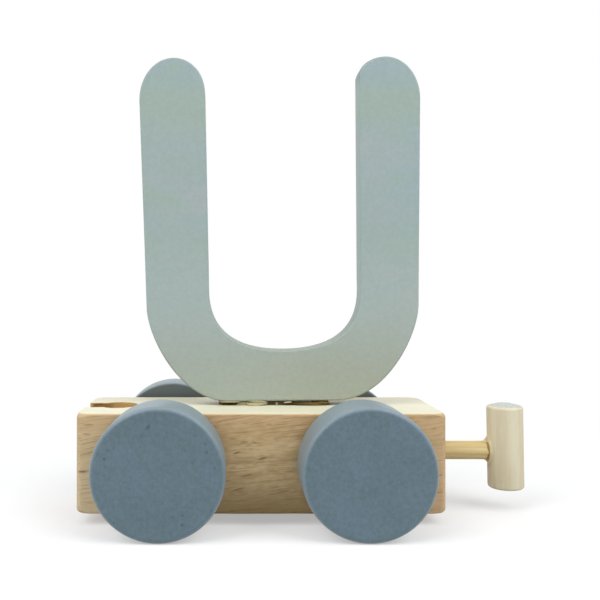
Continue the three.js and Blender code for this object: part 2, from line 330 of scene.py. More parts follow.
@dataclass(frozen=True)
class Place:
    """A local frame: its origin, and the world directions of its three axes as rows."""

    origin: np.ndarray
    axes: np.ndarray

    @staticmethod
    def along(origin: Sequence[float], upward: Sequence[float], sideways: Sequence[float]) -> "Place":
        """Right-handed frame of two directions.

        Args:
            origin: its origin.
            upward: direction of its Z axis.
            sideways: direction of its X axis.

        Returns:
            The frame.
        """
        z_axis = np.array(upward, float)
        x_axis = np.array(sideways, float)
        return Place(np.array(origin, float), np.stack([x_axis, np.cross(z_axis, x_axis), z_axis]))

    @staticmethod
    def upright(x: float, y: float) -> "Place":
        """Frame on the floor with the car's own axes."""
        return Place.along((x, y, 0.0), (0, 0, 1), (1, 0, 0))

    @staticmethod
    def across(x: float, z: float) -> "Place":
        """Frame on the car's middle plane with its Z axis across the car."""
        return Place.along((x, 0.0, z), (0, 1, 0), (1, 0, 0))

    @staticmethod
    def lengthwise(z: float) -> "Place":
        """Frame at a height in the car's middle plane with its Z axis along the car."""
        return Place.along((0.0, 0.0, z), (1, 0, 0), (0, 1, 0))

    def world(self, local: np.ndarray) -> np.ndarray:
        """Local points, with coordinates on the last axis, in the world."""
        return self.origin + local @ self.axes


@dataclass(frozen=True)
class Wave:
    """A sine wave over one place or two: its height, its turn for each unit of them and its start."""

    height: float
    turn: float
    start: float = 0.0
    second_turn: float = 0.0

    def at(self, place: np.ndarray, second: float | np.ndarray = 0.0) -> np.ndarray:
        """Height of the wave: height * sin(turn * place + second_turn * second + start)."""
        return self.height * np.sin(self.turn * place + self.second_turn * second + self.start)


OUT_OF_ROUND = Wave(1.0, 3.0, 0.7)


class Shell:
    """A closed skin put together from grids of points."""

    def __init__(self) -> None:
        """Starts with no points."""
        self.points: list[np.ndarray] = []
        self.faces: list[list[int]] = []
        self.count = 0

    def add(self, points: np.ndarray) -> np.ndarray:
        """Adds points.

        Args:
            points: array of any grid shape, with coordinates on the last axis.

        Returns:
            The points' numbers, in that shape.
        """
        index = self.count + np.arange(points[..., 0].size).reshape(points.shape[:-1])
        self.points.append(points.reshape(-1, 3))
        self.count += index.size
        return index

    def tube(self, points: np.ndarray) -> np.ndarray:
        """Adds rings of points with a quad between each four neighbours.

        Args:
            points: array of (rings, points in a ring, 3); each ring closes on itself.

        Returns:
            The points' numbers, as an array of (rings, points in a ring).
        """
        index = self.add(points)
        ahead = np.roll(index, -1, axis=1)
        quads = np.stack([index[:-1], ahead[:-1], ahead[1:], index[1:]], axis=-1)
        self.faces.extend(quads.reshape(-1, 4).tolist())
        return index

    def cap(self, ring: np.ndarray) -> None:
        """Closes a ring with one flat face."""
        self.faces.append(ring.tolist())

    def pole(self, ring: np.ndarray, point: np.ndarray) -> None:
        """Closes a ring with triangles that meet in a point."""
        tip = np.full(len(ring), self.add(point[None, :])[0])
        self.faces.extend(np.stack([ring, np.roll(ring, -1), tip], axis=-1).tolist())

    def spindle(self, rings: np.ndarray, low: np.ndarray, high: np.ndarray) -> "Shell":
        """Adds rings of points that meet in a point at each end.

        Args:
            rings: array of (rings, points in a ring, 3).
            low: the point before the first ring.
            high: the point after the last ring.

        Returns:
            This shell.
        """
        index = self.tube(rings)
        self.pole(index[0][::-1], low)
        self.pole(index[-1], high)
        return self

    def build(self, name: str) -> bpy.types.Object:
        """Makes the object, with its faces pointing out and smooth where they nearly agree.

        Args:
            name: the piece's name.

        Returns:
            The new object, in the scene.
        """
        mesh = bpy.data.meshes.new(name)
        mesh.from_pydata(np.concatenate(self.points), [], self.faces)
        tidy = bmesh.new()
        tidy.from_mesh(mesh)
        bmesh.ops.recalc_face_normals(tidy, faces=tidy.faces)
        tidy.to_mesh(mesh)
        tidy.free()
        mesh.shade_smooth()
        mesh.set_sharp_from_angle(angle=SHARP_ANGLE)
        piece = bpy.data.objects.new(name, mesh)
        bpy.context.scene.collection.objects.link(piece)
        return piece


def full_turn(steps: int) -> np.ndarray:
    """Angles of even steps round a full turn, in radians."""
    return np.linspace(0.0, 2 * math.pi, steps, endpoint=False)


def arc(centre: Pair, radii: Pair, start: float, stop: float, steps: int) -> np.ndarray:
    """Points on an ellipse: centre plus radii times the cosine and sine of the angle.

    Args:
        centre: middle of the ellipse.
        radii: its half width and half height.
        start: first angle, in degrees.
        stop: last angle, in degrees.
        steps: number of steps between them.

    Returns:
        Array of (steps + 1, 2) points.
    """
    angle = np.radians(np.linspace(start, stop, steps + 1))
    return np.array(centre) + np.array(radii) * np.stack([np.cos(angle), np.sin(angle)], axis=1)


def quarter(centre: Pair, radius: float, start: float, steps: int = EDGE_STEPS) -> np.ndarray:
    """Points on a quarter of a circle, counter-clockwise from the start angle, in degrees."""
    return arc(centre, (radius, radius), start, start + 90.0, steps)


def bezier(corners: Sequence[Pair], steps: int) -> np.ndarray:
    """Points on a cubic curve: the four corners weighted by (1-t)^3, 3t(1-t)^2, 3t^2(1-t) and t^3.

    Args:
        corners: the four corners.
        steps: number of steps of t, from 0 to 1.

    Returns:
        Array of (steps + 1, 2) points.
    """
    t = np.linspace(0.0, 1.0, steps + 1)[:, None]
    weights = np.concatenate([(1 - t) ** 3, 3 * t * (1 - t) ** 2, 3 * t ** 2 * (1 - t), t ** 3], axis=1)
    return weights @ np.array(corners)


def refined(outline: np.ndarray, spacing: float) -> np.ndarray:
    """A closed outline with points added along its straights, evenly along each.

    Args:
        outline: array of (points, 2).
        spacing: longest step wanted.

    Returns:
        The outline with the added points.
    """
    step = np.roll(outline, -1, axis=0) - outline
    counts = np.maximum(1, np.ceil(np.linalg.norm(step, axis=1) / spacing)).astype(int)
    index = np.repeat(np.arange(len(outline)), counts)
    share = (np.arange(counts.sum()) - np.repeat(np.cumsum(counts) - counts, counts)) / counts[index]
    return outline[index] + share[:, None] * step[index]


def outward(outline: np.ndarray) -> np.ndarray:
    """Unit normals of an outline: each tangent turned a quarter clockwise.

    Args:
        outline: counter-clockwise array of (points, 2).

    Returns:
        Array of (points, 2).
    """
    tangent = np.roll(outline, -1, axis=0) - np.roll(outline, 1, axis=0)
    normal = np.stack([tangent[:, 1], -tangent[:, 0]], axis=1)
    return normal / np.linalg.norm(normal, axis=1, keepdims=True)


def slab(outline: np.ndarray, low: float, high: float, edge: np.ndarray, place: Place) -> Shell:
    """An outline given thickness, with a quarter round of its own radius at each edge point.

    At an angle t from 0 to a quarter turn the skin is drawn in by edge * (1 - sin t) and lies
    edge * (1 - cos t) inside the face. A narrow flat ring holds the shading of each flat face.

    Args:
        outline: counter-clockwise array of (points, 2).
        low: height of the lower face.
        high: height of the upper face.
        edge: radius of the round at each point, or one for all.
        place: local frame that the slab is made in.

    Returns:
        The closed shell.
    """
    turn = np.linspace(0.0, math.pi / 2, EDGE_STEPS + 1)[:, None]
    radius = np.broadcast_to(edge, (len(outline),))[None, :]
    inset = np.concatenate([radius + SUPPORT, radius * (1 - np.sin(turn))])
    depth = np.concatenate([radius * 0, radius * (1 - np.cos(turn))])
    inset = np.concatenate([inset, inset[::-1]])
    height = np.concatenate([low + depth, high - depth[::-1]])
    flat = outline[None] - inset[..., None] * outward(outline)[None]
    shell = Shell()
    rings = shell.tube(place.world(np.concatenate([flat, height[..., None]], axis=2)))
    shell.cap(rings[0][::-1])
    shell.cap(rings[-1])
    return shell


def turned(profile: np.ndarray, reach: np.ndarray, place: Place) -> Shell:
    """A profile turned about the local Z axis: (q r cos a, q r sin a, height) for each angle a.

    Args:
        profile: array of (points, 2), radius r and height, from one end of the axis to the other.
        reach: share q of the radius at each angle of a full turn.
        place: local frame that it turns in.

    Returns:
        The closed shell.
    """
    angle = full_turn(len(reach))
    radius = profile[1:-1, :1] * reach
    height = np.broadcast_to(profile[1:-1, 1:], radius.shape)
    rings = np.stack([radius * np.cos(angle), radius * np.sin(angle), height], axis=-1)
    ends = place.world(np.array([[0.0, 0.0, profile[0, 1]], [0.0, 0.0, profile[-1, 1]]]))
    return Shell().spindle(place.world(rings), ends[0], ends[1])


def revolved(profile: np.ndarray, sides: int, place: Place, uneven: float = 0.0) -> Shell:
    """A profile turned a little out of round: q is 1 - uneven * (1 + three waves) / 2.

    Args:
        profile: array of (points, 2), radius and height, from one end of the axis to the other.
        sides: number of steps in the full turn.
        place: local frame that it turns in.
        uneven: share of the radius by which it is out of round.

    Returns:
        The closed shell.
    """
    return turned(profile, 1.0 - uneven * (1.0 + OUT_OF_ROUND.at(full_turn(sides))) / 2.0, place)


def fluted(profile: np.ndarray, flutes: int, depth: float, place: Place) -> Shell:
    """A profile turned with lengthwise grooves: q is 1 - depth * ((1 - cos(flutes * a)) / 2) ** power.

    Args:
        profile: array of (points, 2), radius and height, from one end of the axis to the other.
        flutes: number of grooves.
        depth: depth of a groove, as a share of the radius.
        place: local frame that it turns in.

    Returns:
        The closed shell.
    """
    angle = full_turn(flutes * FLUTE_POINTS)
    return turned(profile, 1.0 - depth * ((1.0 - np.cos(flutes * angle)) / 2) ** FLUTE_POWER, place)


def rod_profile(radius: float, low: float, high: float, edge: float) -> np.ndarray:
    """Profile of a rod with rounded ends.

    Args:
        radius: its radius.
        low: height of its low end.
        high: height of its high end.
        edge: radius of the round at each end.

    Returns:
        Array of (points, 2), radius and height, from its low end's middle to its high end's.
    """
    inner = radius - edge
    return np.concatenate([
        [[0.0, low], [inner - SUPPORT, low]],
        quarter((inner, low + edge), edge, -90.0),
        quarter((inner, high - edge), edge, 0.0),
        [[inner - SUPPORT, high], [0.0, high]],
    ])


def cut(piece: bpy.types.Object, tools: Sequence[Shell]) -> None:
    """Cuts closed shells out of a piece and keeps the result as its mesh.

    Args:
        piece: the piece to cut.
        tools: the shells to take away.
    """
    for tool in tools:
        cutter = tool.build("cutter")
        modifier = piece.modifiers.new("cut", "BOOLEAN")
        modifier.operation = "DIFFERENCE"
        modifier.solver = "EXACT"
        modifier.object = cutter
        graph = bpy.context.evaluated_depsgraph_get()
        mesh = bpy.data.meshes.new_from_object(piece.evaluated_get(graph))
        piece.modifiers.clear()
        piece.data = mesh
        bpy.data.objects.remove(cutter)
    piece.data.set_sharp_from_angle(angle=SHARP_ANGLE)


def settle(piece: bpy.types.Object, material: bpy.types.Material, body: str,
           node: str) -> bpy.types.Object:
    """Dresses a piece and lets it ride on its body in place of a CAD node.

    Args:
        piece: the finished piece.
        material: its material.
        body: the CAD body that carries it.
        node: the CAD node that it stands for.

    Returns:
        The piece.
    """
    piece.data.materials.clear()
    piece.data.materials.append(material)
    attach(piece, body)
    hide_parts(node)
    return piece


# Finishes


@dataclass(frozen=True)
class Pattern:
    """Soft noise of 0 to 1: cycles per unit along each axis, octaves, their roughness, distortion."""

    cycles: Triple
    octaves: float = 2.0
    roughness: float = 0.5
    distortion: float = 0.0

    @staticmethod
    def even(cycles: float, octaves: float = 2.0, roughness: float = 0.5) -> "Pattern":
        """A pattern with the same cycles along every axis."""
        return Pattern((cycles, cycles, cycles), octaves, roughness)

    def at(self, place: Value) -> Value:
        """The noise at each place."""
        inputs = {"Vector": place.shader.stretched(place, self.cycles), "Scale": 1.0,
                  "Detail": self.octaves, "Roughness": self.roughness, "Distortion": self.distortion}
        return place.shader.node("ShaderNodeTexNoise", inputs=inputs)


@dataclass(frozen=True)
class Layer:
    """A smooth step of a value, from its first share at the start to its share at the stop.

    The value is a pattern of 0 to 1, or a distance in millimetres. A start above the stop makes
    the step run as the value falls.
    """

    start: float
    stop: float
    share: float = 1.0
    first: float = 0.0

    def of(self, value: Value) -> Value:
        """The share at each place, for the value there."""
        return value.shader.step(value, self.start, self.stop, self.first, self.share)


@dataclass(frozen=True)
class Line:
    """A straight line: base plus gain times a value."""

    base: float
    gain: float

    def of(self, value: Value) -> Value:
        """The line's height at each place, for the value there."""
        return self.base + self.gain * value


@dataclass(frozen=True)
class Relief:
    """Bumps of a surface: the depth in millimetres that a height of 0 to 1 stands for, and a strength."""

    depth: float
    strength: float

    def of(self, height: Value) -> Value:
        """The bumped normal."""
        inputs = {"Height": height, "Distance": self.depth * MM, "Strength": self.strength}
        return height.shader.node("ShaderNodeBump", inputs=inputs)


@dataclass(frozen=True)
class Mark:
    """One short dark mark: its middle and length in millimetres, its tilt in degrees, and its depth."""

    x: float
    z: float
    length: float
    tilt: float
    depth: float

    def mask(self, x: Value, z: Value, half_width: float) -> Value:
        """Soft ellipse about the mark's middle, turned by its tilt.

        Args:
            x: place along X, measured as the mark's own is.
            z: place along Z, measured as the mark's own is.
            half_width: half the mark's width.

        Returns:
            The mark's depth at its middle, and 0 outside it.
        """
        cosine = math.cos(math.radians(self.tilt))
        sine = math.sin(math.radians(self.tilt))
        along = ((x - self.x) * cosine + (z - self.z) * sine) / (self.length / 2)
        across = ((z - self.z) * cosine - (x - self.x) * sine) / half_width
        return Layer(1.0, 0.0, self.depth).of(along * along + across * across)


FLECKS = tuple(Mark(*row) for row in (
    (-8.6, 20.6, 1.8, 3.0, 0.35), (-13.7, 17.0, 2.2, 4.0, 0.5), (-11.6, 16.9, 1.4, -8.0, 0.35),
    (-15.2, 14.8, 2.0, 17.0, 0.7), (-9.9, 13.7, 2.5, 14.0, 0.7), (-13.1, 10.2, 3.2, 13.0, 0.6),
    (-14.9, 7.4, 3.6, 15.0, 0.55), (-5.6, 7.0, 3.4, 8.0, 0.45), (-4.6, 11.0, 2.2, 6.0, 0.35),
    (-46.6, 11.0, 2.6, 0.0, 0.7), (-45.4, 20.5, 3.0, 2.0, 0.4), (-45.8, 18.6, 2.4, -3.0, 0.35),
))
PITS = tuple(Mark(*row) for row in (
    (-1.7, 9.2, 1.7, 52.0, 0.8), (-2.9, 7.6, 0.7, 20.0, 0.45), (-3.2, 5.4, 0.6, 40.0, 0.35),
    (-9.3, 4.8, 0.8, 80.0, 0.5), (-9.9, 3.2, 0.8, 60.0, 0.7), (9.0, 6.0, 0.6, 30.0, 0.6),
    (9.3, 4.5, 0.65, 10.0, 0.85), (6.7, 2.4, 0.7, 35.0, 0.35), (10.8, 1.6, 0.6, 0.0, 0.5),
    (4.8, -7.4, 0.7, 20.0, 0.55), (4.7, -9.1, 0.8, 30.0, 0.7), (2.9, -7.6, 0.6, 10.0, 0.4),
    (-6.1, -1.2, 0.9, 50.0, 0.3), (-8.2, -8.8, 0.9, 40.0, 0.35), (1.0, -5.0, 0.9, 70.0, 0.25),
))


class Grain(Enum):
    """Axis that a piece's fibres run along, as the order in which its coordinates are read."""

    ALONG_X = (0, 1, 2)
    ALONG_Y = (1, 0, 2)
    ALONG_Z = (2, 0, 1)


@dataclass(frozen=True)
class BeechFinish:
    """Sanded beech of the block: tan sides, a top painted pale for the light and sheen from above, sawn
    ends and a toasted socket.
    """

    specular: float = 0.3
    coat: float = 0.3
    top_coat: float = -0.1
    coat_rough: float = 0.36
    rough: Layer = Layer(0.2, 0.8, 0.5, 0.62)
    socket_rough: float = 0.3
    relief: Relief = Relief(0.05, 0.7)
    # Shares of fibres, pores and flecks in the relief
    heights: Triple = (0.7, 0.3, -0.5)

    # Sides
    light: Colour = srgb(203, 178, 137)
    dark: Colour = srgb(163, 138, 92)
    line: Colour = srgb(120, 95, 60)
    # Orange tint, laid as a painted glow just below the top edge and as warm clouds of tone
    warm: Colour = srgb(188, 150, 106)
    # Pale and tan: painted light, paler wood towards each end, pale at the socket end and tan at the peg
    # end
    pale: Colour = srgb(212, 190, 152)
    tan: Colour = srgb(204, 171, 130)
    # Dark brown: painted shade low on the sides, in the middle between the wheels
    painted_low_shade: Colour = srgb(116, 90, 34)
    fleck: Colour = srgb(92, 72, 42)
    rise: float = 0.11
    sweep: float = 5.0
    sway: Pattern = Pattern((0.03, 0.05, 0.06), 1.0)
    fibres: Pattern = Pattern((0.3, 4.0, 4.0), 4.0, 0.65)
    bands: Pattern = Pattern((0.025, 0.4, 0.45), 3.0, 0.55, 0.4)
    mottle: Pattern = Pattern((0.5, 1.1, 1.1), 3.0, 0.6)
    # Shares of bands, fibres and mottle in the tone
    tones: Triple = (0.35, 0.4, 0.25)
    tone: Layer = Layer(0.36, 0.64)
    clouds: Pattern = Pattern((0.06, 0.16, 0.16))
    warm_clouds: Layer = Layer(0.45, 0.7, 0.25)
    # Painted glow: orange light through the wood, strongest just below the top edge
    painted_glow_below_top: Layer = Layer(-7.0, -0.6, 0.45)
    pale_to_tan: Layer = Layer(-5.0, 5.0)
    # Painted light at the ends: strongest near each end and low down
    towards_end: Layer = Layer(-20.0, -3.0)
    ends_upward: Layer = Layer(2.0, 16.5, 0.42, 0.92)
    # Painted shade: strongest in the middle of the block and at its bottom, with a mottle
    painted_low_shade_along: Layer = Layer(24.0, 8.0)
    painted_low_shade_upward: Layer = Layer(9.0, 0.0)
    painted_low_shade_mottle: Line = Line(0.35, 0.45)
    strands: Pattern = Pattern((0.16, 5.0, 5.0))
    strand_lines: Layer = Layer(0.54, 0.72, 0.5)
    fleck_cells: Triple = (0.32, 1.3, 1.3)
    fleck_size: Layer = Layer(0.34, 0.1)
    fleck_chance: Layer = Layer(0.55, 0.9, 0.3)
    fleck_half_width: float = 0.28
    near_side: Layer = Layer(0.6, 0.2)

    # Top and its eased edge: painted light, paler than the sides as if lit and sheened from above
    top: Colour = srgb(220, 217, 193)
    top_line: Colour = srgb(204, 193, 162)
    edge: Colour = srgb(208, 184, 140)
    on_top: Layer = Layer(-0.12, -0.02)
    on_edge: Layer = Layer(-0.34, -0.14)
    edge_fibres: Line = Line(0.4, 0.6)
    top_lines: Pattern = Pattern((0.05, 1.8, 0.2), 3.0, 0.6)
    top_lines_show: Layer = Layer(0.46, 0.7, 0.6)
    top_fibres_show: Layer = Layer(0.5, 0.7, 0.35)

    # Sawn ends
    end: Colour = srgb(198, 168, 126)
    end_line: Colour = srgb(166, 132, 90)
    at_end: Layer = Layer(-0.4, -0.08)
    pith: Pair = (5.0, -22.0)
    wobble: Pattern = Pattern.even(0.16)
    wobble_mm: float = 3.0
    rings: Pattern = Pattern((0.75, 1.0, 1.0), 2.0, 0.6)
    ring_lines: Layer = Layer(0.36, 0.66, 0.55)
    rays: Pattern = Pattern((40.0, 1.0, 1.0), 1.0)
    ray_lines: Layer = Layer(0.55, 0.7, 0.2)
    pores: Pattern = Pattern.even(4.5)
    pore_dots: Layer = Layer(0.5, 0.66, 0.35)

    # Socket
    socket: Colour = srgb(148, 108, 52)
    socket_dark: Colour = srgb(112, 80, 42)
    socket_far: Colour = srgb(205, 165, 102)
    scorch: Pattern = Pattern((0.5, 0.5, 1.6), 4.0, 0.65)
    scorched: Layer = Layer(0.44, 0.6)
    far_wall: Layer = Layer(-3.6, -1.0)
    far_scorch: Line = Line(0.65, 0.35)
    # Near the block's end the socket's walls fade to the side's wood: painted light where light reaches
    # in from the end
    mouth: Layer = Layer(1.2, 0.3, 0.6)

    def material(self, block: "WagonBlock") -> bpy.types.Material:
        """Nodes for the block.

        Args:
            block: the block, for the places of its top, ends and socket.

        Returns:
            The material.
        """
        shader = Shader(bpy.data.materials.new("beech_block"))
        place = shader.position()
        x, y, z = shader.parts(place)
        fibre = shader.joined(x, y, z - x * self.rise + self.sway.at(place) * self.sweep)
        fibres = self.fibres.at(fibre)
        pores = self.pores.at(place)
        side, flecks = self.side(shader, fibre, fibres, block)
        # The top's pale colour and its paler eased edge are painted light from above
        on_top = self.on_top.of(z - block.top_mm)
        on_edge = self.on_edge.of(z - block.top_mm) * self.edge_fibres.of(fibres)
        grain = self.top_lines_show.of(self.top_lines.at(fibre)) + self.top_fibres_show.of(fibres)
        at_end = self.at_end.of(abs(x - block.middle_mm) - block.half_mm) * (1.0 - on_top)
        inside = block.socket_mask(shader, x, y, z)
        # Painted light: the socket colour fades out towards the block's end
        in_socket = inside * (1.0 - self.mouth.of(x - block.low_end_mm))
        colour = shader.layered(side, (on_edge, self.edge),
                                (on_top, shader.mix(grain, self.top, self.top_line)),
                                (at_end, self.sawn(shader, place, pores)),
                                (in_socket, self.toasted(shader, place, x - block.socket_mm)))
        rough = self.rough.of(fibres) + inside * self.socket_rough
        height = shader.weighted((fibres, pores, flecks), self.heights)
        coat = (1.0 - inside) * (self.coat + on_top * self.top_coat)
        return shader.finish(colour, rough, self.specular, self.relief.of(height),
                             {"Coat Weight": coat, "Coat Roughness": self.coat_rough})

    def side(self, shader: Shader, fibre: Value, fibres: Value,
             block: "WagonBlock") -> tuple[Value, Value]:
        """Long-grain wood of the block's sides.

        Args:
            shader: the block's shader.
            fibre: the place on the block, bent so that its first coordinate follows the fibres.
            fibres: the fine fibre pattern.
            block: the block, for the places of its top, ends and near side.

        Returns:
            The colour, and a mask of the dark flecks.
        """
        place = shader.position()
        x, y, z = shader.parts(place)
        from_middle = x - block.middle_mm
        from_low = z - block.low_mm
        mottle = self.mottle.at(fibre)
        tone = self.tone.of(shader.weighted((self.bands.at(fibre), fibres, mottle), self.tones))
        # Painted glow below the top edge, plus warm clouds of tone
        glow_and_warm_clouds = self.painted_glow_below_top.of(z - block.top_mm) + self.warm_clouds.of(self.clouds.at(place))
        # Painted light: the sides grow paler towards both ends, most low down
        ends = shader.mix(self.pale_to_tan.of(from_middle), self.pale, self.tan)
        painted_light_at_ends = self.towards_end.of(abs(from_middle) - block.half_mm) * self.ends_upward.of(from_low)
        # Painted shade low in the middle, between the wheels
        painted_low_shade = self.painted_low_shade_along.of(abs(from_middle)) * self.painted_low_shade_upward.of(from_low)
        strands = self.strand_lines.of(self.strands.at(fibre))
        spread, chance = shader.cells(shader.stretched(fibre, self.fleck_cells), 1.0)
        scattered = self.fleck_size.of(spread) * self.fleck_chance.of(chance)
        placed = shader.largest(fleck.mask(x, z, self.fleck_half_width) for fleck in FLECKS)
        flecks = shader.math("MAXIMUM", scattered, placed * self.near_side.of(y - block.near_mm))
        colour = shader.layered(self.dark, (tone, self.light), (glow_and_warm_clouds, self.warm), (painted_light_at_ends, ends),
                                (painted_low_shade * self.painted_low_shade_mottle.of(mottle), self.painted_low_shade),
                                (strands, self.line), (flecks, self.fleck))
        return colour, flecks

    def sawn(self, shader: Shader, place: Value, pores: Value) -> Value:
        """Colour of the sawn ends: year rings about a pith below the block, rays from it, and pores.

        Args:
            shader: the block's shader.
            place: the place on the block.
            pores: the pattern of pores.

        Returns:
            The colour.
        """
        _, y, z = shader.parts(place)
        beside = y - self.pith[0]
        above = z - self.pith[1]
        from_pith = (beside ** 2.0 + above ** 2.0) ** 0.5 + self.wobble.at(place) * self.wobble_mm
        rings = self.rings.at(shader.joined(from_pith, 0.0, 0.0))
        rays = self.rays.at(shader.joined(beside / above, 0.0, 0.0))
        return shader.layered(self.end, (self.ring_lines.of(rings), self.end_line),
                              (self.pore_dots.of(pores) + self.ray_lines.of(rays), self.line))

    def toasted(self, shader: Shader, place: Value, from_socket: Value) -> Value:
        """Colour of the socket's walls: scorched brown, and lighter at the far end.

        Args:
            shader: the block's shader.
            place: the place on the block.
            from_socket: distance along X past the middle of the socket.

        Returns:
            The colour.
        """
        scorch = self.scorch.at(place)
        far = self.far_wall.of(from_socket) * self.far_scorch.of(scorch)
        return shader.layered(self.socket, (self.scorched.of(scorch), self.socket_dark),
                              (far, self.socket_far))


@dataclass(frozen=True)
class DowelFinish:
    """Bare dowel: fibres along its length, and open end grain on its ends."""

    name: str
    grain: Grain
    light: Colour = srgb(214, 196, 156)
    dark: Colour = srgb(186, 160, 114)
    end: Colour = srgb(205, 188, 150)
    fibre_share: float = 0.6
    fibre_across: float = 2.0
    fibre_along: float = 0.12
    fibre_octaves: float = 3.0
    fibre_roughness: float = 0.6
    bands: Pattern = Pattern((0.04, 0.45, 0.45), 2.0, 0.5, 0.4)
    tone: Layer = Layer(0.34, 0.66)
    pores: Pattern = Pattern.even(3.2, 3.0, 0.6)
    pore_dots: Layer = Layer(0.42, 0.66, 0.5)
    at_end: Layer = Layer(-0.3, -0.08)
    rough: Layer = Layer(0.2, 0.8, 0.52, 0.66)
    specular: float = 0.35
    relief: Relief = Relief(0.04, 0.6)

    def material(self, low: float, high: float) -> bpy.types.Material:
        """Nodes for one dowel.

        Args:
            low: place of its low end along the fibres, in millimetres.
            high: place of its high end.

        Returns:
            The material.
        """
        shader = Shader(bpy.data.materials.new(self.name))
        coordinates = shader.parts(shader.position())
        along, beside, above = (coordinates[axis] for axis in self.grain.value)
        place = shader.joined(along, beside, above)
        cycles = (self.fibre_along, self.fibre_across, self.fibre_across)
        fibres = Pattern(cycles, self.fibre_octaves, self.fibre_roughness).at(place)
        pores = self.pores.at(place)
        shares = (self.fibre_share, 1.0 - self.fibre_share)
        streaks = shader.weighted((fibres, self.bands.at(place)), shares)
        at_end = self.at_end.of(abs(along - (low + high) / 2) - (high - low) / 2)
        sawn = shader.mix(self.pore_dots.of(pores), self.end, self.light)
        colour = shader.layered(self.dark, (self.tone.of(streaks), self.light), (at_end, sawn))
        height = fibres * (1.0 - at_end) + pores * at_end
        return shader.finish(colour, self.rough.of(fibres), self.specular, self.relief.of(height))


AXLE_WOOD = DowelFinish("axle_wood", Grain.ALONG_Y)
PIN_WOOD = DowelFinish("pin_wood", Grain.ALONG_Z)
DRAWBAR_WOOD = DowelFinish("drawbar_wood", Grain.ALONG_X, srgb(215, 195, 143), srgb(203, 177, 118),
                           srgb(206, 184, 132), fibre_share=0.7)
# The barrel's end grain is painted blue-grey: the painted sheen of cool light from above
BARREL_WOOD = DowelFinish("barrel_wood", Grain.ALONG_Z, srgb(221, 214, 187), srgb(211, 199, 168),
                          srgb(173, 180, 178), fibre_share=0.4, fibre_across=1.0)


@dataclass(frozen=True)
class WheelPaint:
    """Satin slate-blue paint on wood, with open pores, a worn lighter ring at the face's edge, a rim
    painted lighter as lit from above and an inner face painted warmer by light bounced off the block.
    """

    face: Colour = srgb(95, 116, 130)
    shade: Colour = srgb(81, 102, 108)
    # Rim: painted highlight, lighter than the face as lit from above
    rim: Colour = srgb(122, 137, 143)
    # Inner face: painted bounce light, warmer grey as lit by light off the block
    inner: Colour = srgb(98, 107, 108)
    wear: Colour = srgb(126, 142, 152)
    pit: Colour = srgb(56, 66, 74)
    clouds: Pattern = Pattern.even(0.12, 3.0, 0.55)
    speckle: Pattern = Pattern.even(1.3, 3.0, 0.65)
    # Shares of clouds and speckle in the tone
    tones: Pair = (0.35, 0.65)
    tone: Layer = Layer(0.29, 0.71)
    # The inner face, painted warmer by bounced light
    at_back: Layer = Layer(0.3, 0.1)
    # The rim band, painted lighter as lit from above
    on_rim: Layer = Layer(-0.6, -0.1)
    at_face: Layer = Layer(-1.0, -0.4)
    wear_inset: float = 0.4
    wear_reach: Layer = Layer(0.5, 0.05)
    wear_speckle: Line = Line(0.12, 0.5)
    pore_cells: float = 0.55
    pore_size: Layer = Layer(0.2, 0.08)
    pore_chance: Layer = Layer(0.72, 0.95)
    pores_alone: float = 0.25
    pores_with_pits: float = 0.3
    pit_share: float = 0.8
    pit_half_width: float = 0.42
    near_face: Layer = Layer(0.2, 0.05)
    rough: Layer = Layer(0.3, 0.7, 0.6, 0.5)
    specular: float = 0.4
    coat: float = 0.4
    coat_rough: float = 0.38
    peel: Pattern = Pattern.even(1.4, 3.0, 0.55)
    relief: Relief = Relief(0.07, 0.8)
    # Shares of peel, speckle and pores in the relief
    heights: Triple = (0.6, 0.2, -0.9)

    def material(self, name: str, wheel: "Wheelset", pits: Sequence[Mark]) -> bpy.types.Material:
        """Nodes for the wheels of one axle.

        Args:
            name: the material's name.
            wheel: the wheelset, for the place of its axle and the sizes of its wheels.
            pits: pits placed on the near wheel's face.

        Returns:
            The material.
        """
        shader = Shader(bpy.data.materials.new(name))
        place = shader.position()
        x, y, z = shader.parts(place)
        from_x = x - wheel.axle_mm[0]
        from_z = z - wheel.axle_mm[1]
        from_rim = (from_x * from_x + from_z * from_z) ** 0.5 - wheel.radius_mm
        clouds = self.clouds.at(place)
        speckle = self.speckle.at(place)
        tone = self.tone.of(shader.weighted((clouds, speckle), self.tones))
        by_rim = self.wear_reach.of(abs(from_rim + self.wear_inset))
        worn = by_rim * self.at_face.of(abs(y) - wheel.outer_mm)
        spread, chance = shader.cells(place, self.pore_cells)
        pores = self.pore_size.of(spread) * self.pore_chance.of(chance)
        if pits:
            placed = shader.largest(pit.mask(from_x, from_z, self.pit_half_width) for pit in pits)
            placed = placed * self.near_face.of(y + wheel.outer_mm)
            pores = shader.math("MAXIMUM", pores * self.pores_with_pits, placed * self.pit_share)
        else:
            pores = pores * self.pores_alone
        colour = shader.layered(self.shade, (tone, self.face),
                                (self.at_back.of(abs(y) - wheel.inner_mm), self.inner),
                                (self.on_rim.of(from_rim), self.rim),
                                (worn * self.wear_speckle.of(speckle), self.wear), (pores, self.pit))
        height = shader.weighted((self.peel.at(place), speckle, pores), self.heights)
        return shader.finish(colour, self.rough.of(clouds), self.specular, self.relief.of(height),
                             {"Coat Weight": self.coat, "Coat Roughness": self.coat_rough})


@dataclass(frozen=True)
class GreenBand:
    """A greener band across the letter: lift above the foot and reach in millimetres, and its share."""

    lift: float
    reach: float
    share: float
    core: float = 1.0
    wander: Line = Line(-3.0, 6.0)

    def mask(self, lift: Value, drift: Value) -> Value:
        """How green the band is at a height above the foot, where it wanders with the drift."""
        return Layer(self.reach, self.core, self.share).of(abs(lift - self.lift + self.wander.of(drift)))


